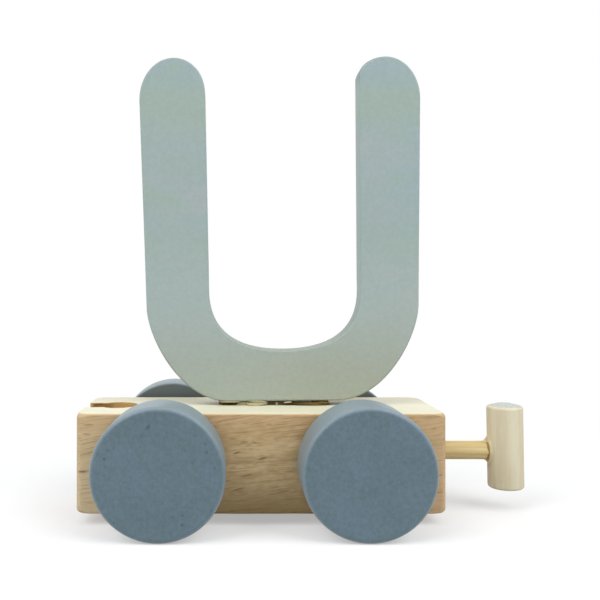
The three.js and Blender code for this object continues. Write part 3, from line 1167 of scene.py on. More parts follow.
@dataclass(frozen=True)
class LetterPaint:
    """Satin grey-green paint: nearly even, with faint cool and warm clouds, painted warm bounce light at
    the foot, painted light on the low arms and painted shade on the edges in the bowl and at the tips.
    """

    body: Colour = srgb(161, 177, 174)
    cool: Colour = srgb(158, 177, 180)
    rose: Colour = srgb(169, 178, 178)
    green: Colour = srgb(160, 178, 168)
    # Paler tint: painted light on the lower arms, where less light reaches them
    pale_tint: Colour = srgb(173, 186, 181)
    # Foot: painted warm light bounced up from the block onto the letter's lower part
    foot: Colour = srgb(168, 174, 159)
    dull: Colour = (0.91, 0.91, 0.91, 1.0)
    # Sawn: painted shade on the letter's cut edges in the bowl and at the tips
    sawn: Colour = (0.74, 0.74, 0.74, 1.0)
    bands: Pattern = Pattern((0.015, 0.015, 0.07))
    cool_to_body: Layer = Layer(0.32, 0.66)
    drift: Pattern = Pattern((0.05, 0.05, 0.11), 3.0, 0.55)
    rose_drift: Layer = Layer(0.42, 0.74, 0.8)
    patches: Pattern = Pattern((0.08, 0.08, 0.14), 3.0, 0.6, 0.5)
    green_patches: Layer = Layer(0.45, 0.75, 0.8)
    green_bands: tuple[GreenBand, ...] = (GreenBand(64.5, 8.0, 0.85), GreenBand(34.0, 6.0, 0.5))
    # Painted light: the arms paler low down
    painted_low_light: Layer = Layer(40.0, 18.0, 0.6)
    bounce_at_foot: Layer = Layer(25.0, 3.0)
    bounce_along_foot: Layer = Layer(-18.0, 8.0, 0.95, 0.6)
    speckle: Pattern = Pattern.even(1.1, 4.0, 0.75)
    dull_speckle: Layer = Layer(0.36, 0.64, 0.7)
    # Where the cut edges get painted shade: the bowl and the tips
    in_bowl: Layer = Layer(27.0, 14.0)
    in_tips: Layer = Layer(68.0, 73.0)
    on_edge: Layer = Layer(0.0, -0.2)
    rough: Layer = Layer(0.3, 0.7, 0.6, 0.52)
    specular: float = 0.25
    peel: Pattern = Pattern.even(1.3, 3.0)
    relief: Relief = Relief(0.03, 0.6)
    # Shares of peel and speckle in the relief
    heights: Pair = (0.6, 0.4)

    def material(self, letter: "LetterU") -> bpy.types.Material:
        """Nodes for the letter.

        Args:
            letter: the letter, for the places of its foot and of its middle plane.

        Returns:
            The material.
        """
        shader = Shader(bpy.data.materials.new("letter_paint"))
        place = shader.position()
        x, y, z = shader.parts(place)
        foot_x, middle_y, foot_z = letter.place.origin / MM
        lift = z - foot_z
        drift = self.drift.at(place)
        speckle = self.speckle.at(place)
        # Over the paint's tone: painted light low on the arms and painted warm bounce at the foot
        colour = shader.layered(self.cool, (self.cool_to_body.of(self.bands.at(place)), self.body),
                                (self.rose_drift.of(drift), self.rose),
                                (self.green_patches.of(self.patches.at(place)), self.green),
                                *((band.mask(lift, drift), self.green) for band in self.green_bands),
                                (self.painted_low_light.of(lift), self.pale_tint),
                                (self.bounce_at_foot.of(lift) * self.bounce_along_foot.of(x - foot_x), self.foot))
        colour = shader.mix(self.dull_speckle.of(speckle), colour, self.dull, "MULTIPLY")
        # Painted shade: the cut edges darken in the bowl and at the tips
        shaded_edge_zones = self.in_bowl.of(lift) + self.in_tips.of(lift)
        on_edge = self.on_edge.of(abs(y - middle_y) - letter.half_thickness / MM)
        colour = shader.mix(on_edge * shaded_edge_zones, colour, self.sawn, "MULTIPLY")
        height = shader.weighted((self.peel.at(place), speckle), self.heights)
        return shader.finish(colour, self.rough.of(drift), self.specular, self.relief.of(height))


@dataclass(frozen=True)
class PaleStretch:
    """A stretch of glue painted pale, as milky glue in some stretches and as painted light and glints in
    others: its first and last X and its bottom in millimetres, and its share.
    """

    low: float
    high: float
    share: float
    bottom: float = 22.0
    soft_end: float = 0.15
    above_bottom: Layer = Layer(-0.05, 0.05)

    def mask(self, x: Value, z: Value) -> Value:
        """How pale the glue is painted.

        Args:
            x: place along the car, in millimetres.
            z: height.

        Returns:
            The stretch's share, with soft ends, and 0 outside it.
        """
        past_end = abs(x - (self.low + self.high) / 2) - (self.high - self.low) / 2
        along = Layer(self.soft_end, -self.soft_end, self.share)
        return along.of(past_end) * self.above_bottom.of(z - self.bottom)


@dataclass(frozen=True)
class GlueFinish:
    """Dried wood glue: milky white where it is thick and proud, amber where it is thin, darkened to olive
    as painted shade under the letter, with painted glints.
    """

    amber: Colour = srgb(114, 90, 18)
    # The film's base colour: amber darkened to olive as painted shade under the letter
    shaded_amber: Colour = srgb(76, 60, 8)
    cloud_and_glint: Colour = srgb(196, 188, 148)
    clear: Colour = srgb(212, 201, 164)
    honey: Colour = srgb(206, 182, 126)
    brown: Colour = srgb(150, 113, 50)
    drift: Pattern = Pattern.even(0.6, 3.0, 0.6)
    golden_along: Layer = Layer(-3.0, 3.0, 0.6)
    golden_drift: Layer = Layer(0.5, 0.7, 0.45)
    pale_drift: Line = Line(0.6, 0.5)
    on_web: Layer = Layer(-0.15, 0.1)
    upper: Layer = Layer(-0.5, 0.5, 0.9, 0.25)
    past_ring: Layer = Layer(-0.1, 0.1)
    in_ring: Layer = Layer(0.12, -0.12)
    ring_off_web: Line = Line(1.0, -0.7)
    lumps: Pattern = Pattern.even(1.1)
    rough: Layer = Layer(0.3, 0.7, 0.42, 0.28)
    specular: float = 0.35
    see_through: float = 0.3
    see_depth: float = 0.6 * MM
    relief: Relief = Relief(0.1, 0.5)

    def under_letter(self, pale_stretches: Sequence[PaleStretch]) -> bpy.types.Material:
        """Nodes for the glue under the letter.

        Args:
            pale_stretches: the stretches of it that are painted pale, for milky glue, painted light and a
                painted glint.

        Returns:
            The material.
        """
        shader = Shader(bpy.data.materials.new("glue_under_letter"))
        place = shader.position()
        x, _, z = shader.parts(place)
        drift = self.drift.at(place)
        golden = self.golden_along.of(x) + self.golden_drift.of(drift)
        cloud_and_glint_mask = shader.largest(pale_tint.mask(x, z) for pale_tint in pale_stretches) * self.pale_drift.of(drift)
        # Painted shade: the film is dark olive, amber in golden stretches, pale in the painted-pale
        # stretches
        return self.wet(shader, shader.layered(self.shaded_amber, (golden, self.amber), (cloud_and_glint_mask, self.cloud_and_glint)))

    def collar(self, height_mm: float, radius_mm: float, ring_mm: Pair) -> bpy.types.Material:
        """Nodes for the collar, whose glue is honey on the bar, clear on its webs and brown in a ring.

        Args:
            height_mm: height of the bar's axis, in millimetres.
            radius_mm: the bar's radius.
            ring_mm: X where the ring starts and ends.

        Returns:
            The material.
        """
        shader = Shader(bpy.data.materials.new("glue_collar"))
        x, _, z = shader.parts(shader.position())
        lift = z - height_mm
        web = self.on_web.of(abs(lift) - radius_mm)
        clear = shader.math("MAXIMUM", web * self.upper.of(lift), self.past_ring.of(x - ring_mm[1]))
        from_ring = abs(x - (ring_mm[0] + ring_mm[1]) / 2) - (ring_mm[1] - ring_mm[0]) / 2
        ring = self.in_ring.of(from_ring) * self.ring_off_web.of(web)
        return self.wet(shader, shader.layered(self.honey, (clear, self.clear), (ring, self.brown)))

    def wet(self, shader: Shader, colour: Value) -> bpy.types.Material:
        """Ends the nodes of a run of glue of that colour, which is glossy and a little see-through."""
        lumps = self.lumps.at(shader.position())
        return shader.finish(colour, self.rough.of(lumps), self.specular, self.relief.of(lumps),
                             {"Subsurface Weight": self.see_through, "Subsurface Scale": self.see_depth})


# The car's sub-assemblies


LETTER_PINS = ("letter_pin_socket_side", "letter_pin_peg_side")


class Side(Enum):
    """Side of the car that a wheel is on, as the sign of its Y."""

    NEAR = -1.0
    FAR = 1.0


class AxleEnd(Enum):
    """End of the car that a wheelset is at, with the body that it rides on."""

    SOCKET = "socket_wheelset"
    PEG = "peg_wheelset"


@dataclass
class WagonBlock:
    """Beech block: eased edges, a keyhole socket at one end, and holes for axles, pins and drawbar."""

    near_corner: float = 1.2 * MM
    near_steps: int = 8
    far_corner: float = 3.0 * MM
    far_steps: int = 14
    edge: float = 0.45 * MM
    edge_waves: tuple[Wave, ...] = (Wave(0.12, 0.31), Wave(0.08, 0.83, 1.0))
    corner_edge: float = 1.3 * MM
    corner_reach: float = 2.6 * MM
    socket_edge: float = 0.25 * MM
    torn_least: float = 0.4
    torn_spread: float = 1.2
    torn_seed: int = 7
    socket_radius: float = 4.2 * MM
    socket_steps: int = 48
    socket_inset: float = 7.0 * MM
    socket_slit: float = 6.2 * MM
    mouth_corner: float = 0.6 * MM
    mouth_steps: int = 5
    running_gap: float = 0.3 * MM
    glue_gap: float = 0.1 * MM
    spacing: float = 0.6 * MM
    hole_sides: int = 64
    in_hole: Layer = Layer(0.22, 0.12)
    in_slit: Layer = Layer(0.16, 0.06)
    before_hole: Layer = Layer(0.0, -0.1)
    below_rim: Layer = Layer(-0.1, -0.3)

    def __post_init__(self) -> None:
        """Takes the block's box from the frame."""
        self.low, self.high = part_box("wagon_block")
        self.socket_x = self.low.x + self.socket_inset
        self.socket_mm = self.socket_x / MM
        self.top_mm = self.high.z / MM
        self.low_mm = self.low.z / MM
        self.near_mm = self.low.y / MM
        self.low_end_mm = self.low.x / MM
        self.middle_mm = (self.low.x + self.high.x) / 2 / MM
        self.half_mm = (self.high.x - self.low.x) / 2 / MM

    def plan(self) -> np.ndarray:
        """The block from above: four round corners, and the keyhole cut in from the low end.

        Returns:
            Counter-clockwise array of (points, 2).
        """
        near, far, mouth = self.near_corner, self.far_corner, self.mouth_corner
        radius = self.socket_radius
        slit = self.socket_slit / 2
        meet = 180.0 - math.degrees(math.asin(slit / radius))
        corners = [
            quarter((self.low.x + near, self.low.y + near), near, 180.0, self.near_steps),
            quarter((self.high.x - near, self.low.y + near), near, -90.0, self.near_steps),
            quarter((self.high.x - far, self.high.y - far), far, 0.0, self.far_steps),
            quarter((self.low.x + far, self.high.y - far), far, 90.0, self.far_steps),
            quarter((self.low.x + mouth, slit + mouth), mouth, 180.0, self.mouth_steps),
            arc((self.socket_x, 0.0), (radius, radius), meet, -meet, self.socket_steps),
            quarter((self.low.x + mouth, -slit - mouth), mouth, 90.0, self.mouth_steps),
        ]
        return refined(np.concatenate(corners), self.spacing)

    def edges(self, plan: np.ndarray) -> np.ndarray:
        """Edge radius at each point of the plan: torn in the socket, and elsewhere a little uneven.

        Outside the socket it is the edge times 1 plus the edge's waves, and it grows to the
        corner's edge within the corner's reach. In the socket it is random.

        Args:
            plan: the block's plan.

        Returns:
            One radius for each point.
        """
        chance = np.random.default_rng(self.torn_seed)
        inside = (np.abs(plan[:, 1]) < self.socket_radius + SUPPORT) & (plan[:, 0] > self.low.x + SUPPORT)
        inside &= plan[:, 0] < self.socket_x + self.socket_radius + SUPPORT
        distance = np.cumsum(np.linalg.norm(np.roll(plan, -1, axis=0) - plan, axis=1)) / MM
        sway = 1.0 + sum(wave.at(distance) for wave in self.edge_waves)
        torn = self.torn_least + self.torn_spread * chance.random(len(plan))
        from_end = np.minimum(plan[:, 0] - self.low.x, self.high.x - plan[:, 0])
        corner = np.clip(1.0 - np.hypot(from_end, plan[:, 1] - self.low.y) / self.corner_reach, 0.0, 1.0)
        outer = self.edge * sway + (self.corner_edge - self.edge) * corner
        return np.where(inside, self.socket_edge * torn, outer)

    def holes(self) -> list[Shell]:
        """Rods to cut away: axle bores across, pin holes from above and the drawbar's hole.

        Returns:
            One closed shell for each hole.
        """
        found = []
        for end in AxleEnd:
            low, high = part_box(f"axle_{end.name.lower()}_end")
            centre = (low + high) / 2
            radius = (high.z - low.z) / 2 + self.running_gap
            place = Place.across(centre.x, centre.z)
            found.append(self.hole(radius, self.low.y - self.edge, self.high.y + self.edge, place))
        for node in LETTER_PINS:
            low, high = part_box(node)
            centre = (low + high) / 2
            radius = (high.x - low.x) / 2 + self.glue_gap
            place = Place.upright(centre.x, centre.y)
            found.append(self.hole(radius, low.z - self.glue_gap, self.high.z + self.edge, place))
        low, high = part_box("drawbar")
        radius = (high.z - low.z) / 2 + self.glue_gap
        place = Place.lengthwise((low.z + high.z) / 2)
        found.append(self.hole(radius, low.x - self.glue_gap, self.high.x + self.edge, place))
        return found

    def hole(self, radius: float, low: float, high: float, place: Place) -> Shell:
        """A plain rod that cuts one hole."""
        return revolved(rod_profile(radius, low, high, self.glue_gap), self.hole_sides, place)

    def socket_mask(self, shader: Shader, x: Value, y: Value, z: Value) -> Value:
        """Finds the walls of the keyhole socket.

        Args:
            shader: the block's shader.
            x: place along the car, in millimetres.
            y: place across it.
            z: height.

        Returns:
            1 on those walls, and 0 elsewhere on the block.
        """
        from_x = x - self.socket_mm
        hole = self.in_hole.of((from_x * from_x + y * y) ** 0.5 - self.socket_radius / MM)
        slit = self.in_slit.of(abs(y) - self.socket_slit / 2 / MM) * self.before_hole.of(from_x)
        return shader.math("MAXIMUM", hole, slit) * self.below_rim.of(z - self.top_mm)

    def build(self, finish: BeechFinish) -> Pieces:
        """Makes the block and lets it stand for its CAD node.

        Args:
            finish: its wood.

        Returns:
            The block.
        """
        plan = self.plan()
        shell = slab(plan, self.low.z, self.high.z, self.edges(plan), Place.upright(0.0, 0.0))
        piece = shell.build("block")
        cut(piece, self.holes())
        return [settle(piece, finish.material(self), "wagon", "wagon_block")]


@dataclass(frozen=True)
class Arm:
    """One arm of the letter: its height, and the height of the inner round at its tip."""

    height: float
    inner_rise: float


@dataclass
class LetterU:
    """Flat sawn letter: two splayed arms with round tips, and a bowl that ends in a flat foot."""

    edge: float = 0.42 * MM
    edge_wave: Wave = Wave(0.25, 0.11)
    edge_change: Wave = Wave(1.0, 0.037)
    foot_half: float = 11.9 * MM
    corner_reach: float = 22.9 * MM
    corner_rise: float = 0.15 * MM
    corner_knee: float = 14.5 * MM
    outer_half: float = 29.75 * MM
    outer_lift: float = 21.0 * MM
    outer_splay: float = 1.25
    tip_x: float = 23.2 * MM
    tip_rise: float = 9.15 * MM
    tip_steps: int = 24
    left_arm: Arm = Arm(75.4 * MM, 7.5 * MM)
    right_arm: Arm = Arm(75.05 * MM, 4.2 * MM)
    inner_half: float = 16.59 * MM
    inner_offset: float = 0.47 * MM
    inner_splay: float = 0.36
    bowl_lift: float = 26.6 * MM
    bowl_knee: float = 23.1 * MM
    bowl_reach: float = 18.0 * MM
    bowl_bottom: float = 11.14 * MM
    curve_steps: int = 40
    lean: float = 0.78
    lift: float = 0.95 * MM
    along: float = 5.45 * MM
    spacing: float = 0.8 * MM

    def __post_init__(self) -> None:
        """Takes the letter's thickness and the block's top from the frame."""
        low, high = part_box("letter_u")
        block_low, block_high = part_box("wagon_block")
        self.half_thickness = (high.y - low.y) / 2
        foot_x = (block_low.x + block_high.x) / 2 + self.along
        foot = (foot_x, (low.y + high.y) / 2, block_high.z + self.lift)
        lean = math.radians(self.lean)
        self.place = Place.along(foot, (0, -1, 0), (math.cos(lean), 0.0, math.sin(lean)))

    def tip(self, inner_half: float, arm: Arm) -> np.ndarray:
        """Round end of an arm on the positive side: quarters of two ellipses that meet at its top.

        Args:
            inner_half: distance of the arm's inner edge from the letter's middle at the bowl.
            arm: the arm.

        Returns:
            Array of (points, 2), from the arm's outer edge to its inner edge.
        """
        outer_lift = arm.height - self.tip_rise
        inner_lift = arm.height - arm.inner_rise
        outer_spread = (outer_lift - self.outer_lift) * math.tan(math.radians(self.outer_splay))
        inner_spread = (inner_lift - self.bowl_lift) * math.tan(math.radians(self.inner_splay))
        outer_radii = (self.outer_half + outer_spread - self.tip_x, self.tip_rise)
        inner_radii = (self.tip_x - inner_half - inner_spread, arm.inner_rise)
        outer = arc((self.tip_x, outer_lift), outer_radii, 0.0, 90.0, self.tip_steps)
        inner = arc((self.tip_x, inner_lift), inner_radii, 90.0, 180.0, self.tip_steps)
        return np.concatenate([outer, inner[1:]])

    def outline(self) -> np.ndarray:
        """The letter standing on its foot: cubic curves for its corners and bowl, and round tips.

        Returns:
            Array of (points, 2), counter-clockwise from the foot's positive end.
        """
        flip = np.array([-1.0, 1.0])
        middle = np.array([self.inner_offset, 0.0])
        corner = bezier([(self.foot_half, 0.0), (self.corner_reach, self.corner_rise),
                         (self.outer_half, self.corner_knee), (self.outer_half, self.outer_lift)],
                        self.curve_steps)
        bowl = bezier([(self.inner_half, self.bowl_lift), (self.inner_half, self.bowl_knee),
                       (self.bowl_reach, self.bowl_bottom), (0.0, self.bowl_bottom)], self.curve_steps)
        pieces = [
            corner,
            self.tip(self.inner_half + self.inner_offset, self.right_arm),
            bowl + middle,
            (bowl * flip + middle)[-2::-1],
            (self.tip(self.inner_half - self.inner_offset, self.left_arm) * flip)[::-1],
            (corner * flip)[::-1],
        ]
        return refined(np.concatenate(pieces), self.spacing)

    def build(self, finish: LetterPaint) -> Pieces:
        """Makes the letter, with an edge that waves from point to point, in place of its CAD node.

        Args:
            finish: its paint.

        Returns:
            The letter.
        """
        outline = self.outline()
        count = np.arange(len(outline))
        edge = self.edge * (1.0 + self.edge_wave.at(count) * self.edge_change.at(count))
        half = self.half_thickness
        piece = slab(outline, -half, half, edge, self.place).build("letter")
        return [settle(piece, finish.material(self), "wagon", "letter_u")]


@dataclass(frozen=True)
class Drop:
    """One lump of squeezed-out glue: its middle and its half sizes in millimetres, and its twist."""

    x: float
    y: float
    z: float
    half_length: float
    half_width: float
    half_height: float
    twist: float


@dataclass
class LetterGlue:
    """Glue under the letter: a wavy film of amber glue, painted dark olive as shaded by the letter, with
    milky and amber lumps at its near edge, some painted pale as light and glints.
    """

    half_length: float = 12.0 * MM
    shift: float = -0.9 * MM
    half_width: float = 2.1 * MM
    film_waves: tuple[Wave, ...] = (Wave(0.175 * MM, 9.0), Wave(0.105 * MM, 17.0, 1.0),
                                    Wave(0.0875 * MM, 31.0))
    edge: float = 0.12 * MM
    points: int = 240
    # Pale stretches: the first two are painted light on the letter's lower edge, with the lump at -16.6;
    # then a milky drop and a strand; the last is a painted glint
    pale_stretches: tuple[PaleStretch, ...] = (
        PaleStretch(-19.4, -15.0, 0.6, 23.4), PaleStretch(-15.0, -12.9, 0.7), PaleStretch(-12.9, -8.3, 0.85),
        PaleStretch(-6.5, -6.05, 0.7), PaleStretch(-4.8, -3.0, 1.0, 23.36),
    )
    drops: tuple[Drop, ...] = (
        Drop(-10.6, -1.1, 23.2, 2.2, 0.5, 0.4, 0.2), Drop(-11.2, -1.5, 22.95, 1.8, 0.35, 0.2, 0.1),
        Drop(-10.4, -1.2, 23.72, 2.0, 0.3, 0.16, -0.2), Drop(-3.9, -1.25, 23.55, 0.85, 0.3, 0.16, 0.5),
        Drop(-6.3, -1.3, 23.1, 0.14, 0.14, 0.42, 0.0), Drop(1.2, -0.75, 23.15, 3.9, 0.7, 0.36, 0.06),
        Drop(3.8, -1.0, 23.4, 1.3, 0.4, 0.25, 0.1), Drop(-15.4, -0.6, 23.0, 1.3, 0.4, 0.2, 0.0),
        Drop(-16.6, -1.05, 23.6, 2.4, 0.4, 0.2, 0.1),
    )
    lump_waves: tuple[Wave, ...] = (Wave(0.1, 2.0, 0.0, 5.0), Wave(0.06, 5.0, 0.0, -3.0))
    lump_sides: int = 36
    lump_rings: int = 20

    def __post_init__(self) -> None:
        """Takes the film's box from the frame."""
        low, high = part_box("letter_glue")
        self.centre = (low + high) / 2
        self.low_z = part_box("wagon_block")[1].z
        self.high_z = high.z

    def film(self) -> np.ndarray:
        """The film from above: a rounded oblong whose edge swells and shrinks along its way.

        x and y are the half sizes, each with the waves added, times the square roots of the
        cosine and the sine, which keep their signs.

        Returns:
            Counter-clockwise array of (points, 2).
        """
        turn = full_turn(self.points)
        swell = sum(wave.at(turn) for wave in self.film_waves)
        side = np.sign(np.cos(turn)) * np.sqrt(np.abs(np.cos(turn)))
        front = np.sign(np.sin(turn)) * np.sqrt(np.abs(np.sin(turn)))
        return np.stack([(self.half_length + swell) * side, (self.half_width + swell) * front], axis=1)

    def lump(self, shell: Shell, drop: Drop) -> None:
        """Adds one lump: an egg, with waves round it, whose middle line rises along it.

        At a turn a round it and u up it, it is (cos u cos a, cos u sin a, sin u) times the half
        sizes, with cos u times 1 plus the waves. It rises by the twist times x's share of the
        half length, in half heights.

        Args:
            shell: the shell that takes it.
            drop: its place and sizes.
        """
        around = full_turn(self.lump_sides)[None, :]
        up = np.linspace(-math.pi / 2, math.pi / 2, self.lump_rings + 2)[1:-1, None]
        ring = np.cos(up) * (1.0 + sum(wave.at(around, up) for wave in self.lump_waves))
        height = np.broadcast_to(np.sin(up), ring.shape)
        sizes = np.array([drop.half_length, drop.half_width, drop.half_height]) * MM
        points = np.stack([ring * np.cos(around), ring * np.sin(around), height], axis=-1) * sizes
        points[..., 2] += drop.twist * points[..., 0] * drop.half_height / drop.half_length
        middle = np.array([drop.x, drop.y, drop.z]) * MM
        rise = np.array([0.0, 0.0, sizes[2]])
        shell.spindle(middle + points, middle - rise, middle + rise)

    def build(self, finish: GlueFinish) -> Pieces:
        """Makes the glue and lets it stand for its CAD node.

        Args:
            finish: the glue's finish.

        Returns:
            The glue, film and lumps in one piece.
        """
        place = Place.upright(self.centre.x + self.shift, self.centre.y)
        shell = slab(self.film(), self.low_z, self.high_z, np.array(self.edge), place)
        for drop in self.drops:
            self.lump(shell, drop)
        piece = shell.build("glue_under_letter")
        return [settle(piece, finish.under_letter(self.pale_stretches), "wagon", "letter_glue")]


@dataclass
class LetterPins:
    """Two grooved dowel pins, hidden between the block and the letter's foot."""

    grooves: int = 12
    groove_depth: float = 0.1 * MM
    edge: float = 0.4 * MM

    def build(self, finish: DowelFinish) -> Pieces:
        """Makes both pins.

        Args:
            finish: their wood.

        Returns:
            The pins.
        """
        pins = []
        for node in LETTER_PINS:
            low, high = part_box(node)
            centre = (low + high) / 2
            radius = (high.x - low.x) / 2
            profile = rod_profile(radius, low.z, high.z, self.edge)
            place = Place.upright(centre.x, centre.y)
            shell = fluted(profile, self.grooves, self.groove_depth / radius, place)
            pin = shell.build(node.replace("letter_pin", "pin"))
            wood = finish.material(low.z / MM, high.z / MM)
            pins.append(settle(pin, wood, "wagon", node))
        return pins


@dataclass
class Wheelset:
    """One dowel axle with a painted wheel glued on each end."""

    end: AxleEnd
    edge: float = 1.0 * MM
    inner_edge: float = 0.4 * MM
    bore_gap: float = 0.25 * MM
    bite: float = 6.7 * MM
    axle_edge: float = 0.4 * MM
    face_rings: int = 24
    sides: int = 192
    axle_sides: int = 64
    uneven: float = 0.004

    def __post_init__(self) -> None:
        """Takes the wheels' and the axle's places from the frame."""
        self.name = self.end.name.lower()
        self.axle_low, self.axle_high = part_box(f"axle_{self.name}_end")
        self.axle_radius = (self.axle_high.z - self.axle_low.z) / 2
        low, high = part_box(f"wheel_{self.name}_far")
        centre = (low + high) / 2
        self.axle = (centre.x, centre.z)
        self.axle_mm = (centre.x / MM, centre.z / MM)
        self.radius = (high.z - low.z) / 2
        self.radius_mm = self.radius / MM
        self.inner = low.y
        self.thickness = high.y - low.y
        self.inner_mm = low.y / MM
        self.outer_mm = high.y / MM

    def profile(self) -> np.ndarray:
        """A wheel's profile, from its blind bore round the rim to the middle of its face.

        Returns:
            Array of (points, 2), radius and height above the inner face.
        """
        bore = self.axle_radius + self.bore_gap
        bottom = self.bite + self.bore_gap
        rim = self.radius - self.edge
        inner_rim = self.radius - self.inner_edge
        flat = np.linspace(rim - SUPPORT, 0.0, self.face_rings + 1)
        return np.concatenate([
            [[0.0, bottom], [bore, bottom], [bore, 0.0], [inner_rim - SUPPORT, 0.0]],
            quarter((inner_rim, self.inner_edge), self.inner_edge, -90.0),
            quarter((rim, self.thickness - self.edge), self.edge, 0.0),
            np.stack([flat, np.full_like(flat, self.thickness)], axis=1),
        ])

    def build(self, paint: WheelPaint, dowel: DowelFinish, pits: Sequence[Mark]) -> Pieces:
        """Makes both wheels and the axle.

        Args:
            paint: the wheels' finish.
            dowel: the axle's finish.
            pits: pits in the near wheel's face.

        Returns:
            The wheels and the axle.
        """
        pieces = []
        x, z = self.axle
        material = paint.material(f"wheel_paint_{self.name}", self, pits)
        for side in Side:
            place = Place.along((x, side.value * self.inner, z), (0, side.value, 0), (1, 0, 0))
            shell = revolved(self.profile(), self.sides, place, self.uneven)
            word = side.name.lower()
            wheel = shell.build(f"{self.name}_wheel_{word}")
            node = f"wheel_{self.name}_{word}"
            pieces.append(settle(wheel, material, self.end.value, node))
        low, high = self.axle_low.y, self.axle_high.y
        profile = rod_profile(self.axle_radius, low, high, self.axle_edge)
        axle = revolved(profile, self.axle_sides, Place.across(x, z)).build(f"{self.name}_axle")
        wood = dowel.material(low / MM, high / MM)
        pieces.append(settle(axle, wood, self.end.value, f"axle_{self.name}_end"))
        return pieces


@dataclass
class CouplingPeg:
    """T-shaped peg: a fluted drawbar, an upright barrel on its end and a collar of glue between them."""

    barrel_length: float = 18.55 * MM
    barrel_edge: float = 0.6 * MM
    barrel_rise: float = 1.125 * MM
    barrel_uneven: float = 0.006
    crown: float = 0.6 * MM
    crown_rings: int = 8
    lean: float = 1.0
    flutes: int = 8
    flute_depth: float = 0.1 * MM
    bar_edge: float = 0.3 * MM
    collar_front: float = 0.1 * MM
    collar_web: float = 1.1 * MM
    collar_flare: float = 2.2
    collar_length: float = 1.15 * MM
    web_length: float = 0.3 * MM
    web_upper: float = 0.1
    collar_wave: Wave = Wave(0.06, 5.0)
    collar_rings: int = 14
    ring_mm: Pair = (39.42, 39.95)
    sides: int = 96

    def __post_init__(self) -> None:
        """Takes the drawbar's and the barrel's places from the frame."""
        self.bar_low, self.bar_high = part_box("drawbar")
        self.barrel_low, self.barrel_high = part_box("coupler_barrel")
        self.barrel_radius = (self.barrel_high.y - self.barrel_low.y) / 2
        self.height = (self.bar_low.z + self.bar_high.z) / 2
        self.bar_radius = (self.bar_high.z - self.bar_low.z) / 2
        self.slope = math.tan(math.radians(self.lean))
        middle = (self.barrel_low.z + self.barrel_high.z) / 2
        barrel_x = (self.barrel_low.x + self.barrel_high.x) / 2
        self.barrel_x = barrel_x + (middle - self.height) * self.slope

    def barrel(self) -> Shell:
        """The barrel: a rod with rounded ends about an axis that leans a little.

        Its upper end is crowned: at a share q of the radius it stands crown * (1 - q ** 2) higher.

        Returns:
            The closed shell.
        """
        cosine = math.cos(math.radians(self.lean))
        sine = math.sin(math.radians(self.lean))
        place = Place.along((self.barrel_x, 0.0, self.height), (-sine, 0.0, cosine), (cosine, 0.0, sine))
        low = self.barrel_rise - self.barrel_length / 2
        high = low + self.barrel_length - self.crown
        profile = rod_profile(self.barrel_radius, low, high, self.barrel_edge)
        share = np.linspace(1.0, 0.0, self.crown_rings)[1:]
        crown = np.stack([share * profile[-2, 0], high + self.crown * (1 - share ** 2)], axis=1)
        return revolved(np.concatenate([profile[:-1], crown]), self.sides, place, self.barrel_uneven)

    def bar(self) -> Shell:
        """The fluted drawbar along X, up to just inside the barrel."""
        profile = rod_profile(self.bar_radius, self.bar_low.x, self.bar_high.x, self.bar_edge)
        depth = self.flute_depth / self.bar_radius
        return fluted(profile, self.flutes, depth, Place.lengthwise(self.height))

    def collar(self) -> Shell:
        """Collar of glue that flares from the drawbar to the barrel's round side, most above and below.

        At a share s of its length and an angle a from the side, its radius is the drawbar's plus
        (front + web * sin(a) ** 2) * (1 - s) ** flare. It starts on the barrel, sqrt(R ** 2 - y ** 2)
        from the barrel's axis, and is length + web_length * sin(a) ** 2 long. The upper web is a
        little larger than the lower one, and a wave round it makes it uneven.

        Returns:
            The closed shell.
        """
        share = np.linspace(0.0, 1.0, self.collar_rings)[:, None]
        angle = full_turn(self.sides)[None, :]
        web = np.sin(angle) ** 2 * (1.0 + self.web_upper * np.sin(angle))
        uneven = 1.0 + self.collar_wave.at(angle)
        flare = (1 - share) ** self.collar_flare * uneven
        radius = self.bar_radius + (self.collar_front + self.collar_web * web) * flare
        y = radius * np.cos(angle)
        z = radius * np.sin(angle)
        lean = -z * self.slope * (1 - share)
        barrel_face = self.barrel_x - np.sqrt(self.barrel_radius ** 2 - y ** 2) + lean
        x = barrel_face - share * (self.collar_length + self.web_length * web) * uneven
        rings = np.stack([x, y, self.height + z], axis=-1)
        start = np.array([self.barrel_x, 0.0, self.height])
        end = np.array([x[-1].mean(), 0.0, self.height])
        return Shell().spindle(rings, start, end)

    def build(self, bar: DowelFinish, barrel: DowelFinish, glue: GlueFinish) -> Pieces:
        """Makes the three pieces.

        Args:
            bar: finish of the drawbar.
            barrel: finish of the barrel.
            glue: finish of the collar.

        Returns:
            The drawbar, the barrel and the collar.
        """
        bar_wood = bar.material(self.bar_low.x / MM, self.bar_high.x / MM)
        barrel_wood = barrel.material(self.barrel_low.z / MM, self.barrel_high.z / MM)
        collar = glue.collar(self.height / MM, self.bar_radius / MM, self.ring_mm)
        return [
            settle(self.bar().build("bar"), bar_wood, "wagon", "drawbar"),
            settle(self.barrel().build("barrel"), barrel_wood, "wagon", "coupler_barrel"),
            settle(self.collar().build("glue_collar"), collar, "wagon", "coupler_glue"),
        ]


# Camera, light and floor


@dataclass(frozen=True)
class Lamp:
    """A soft square lamp that faces the car."""

    name: str
    place: Triple
    size: float
    watts: float
    colour: Triple

    def build(self, target: Vector) -> None:
        """Hangs the lamp at its place and turns it.

        Args:
            target: the point that it faces.
        """
        data = bpy.data.lights.new(self.name, "AREA")
        data.shape = "SQUARE"
        data.size = self.size
        data.energy = self.watts
        data.color = self.colour
        lamp = bpy.data.objects.new(self.name, data)
        lamp.location = self.place
        lamp.rotation_euler = (target - lamp.location).to_track_quat("-Z", "Y").to_euler()
        bpy.context.scene.collection.objects.link(lamp)


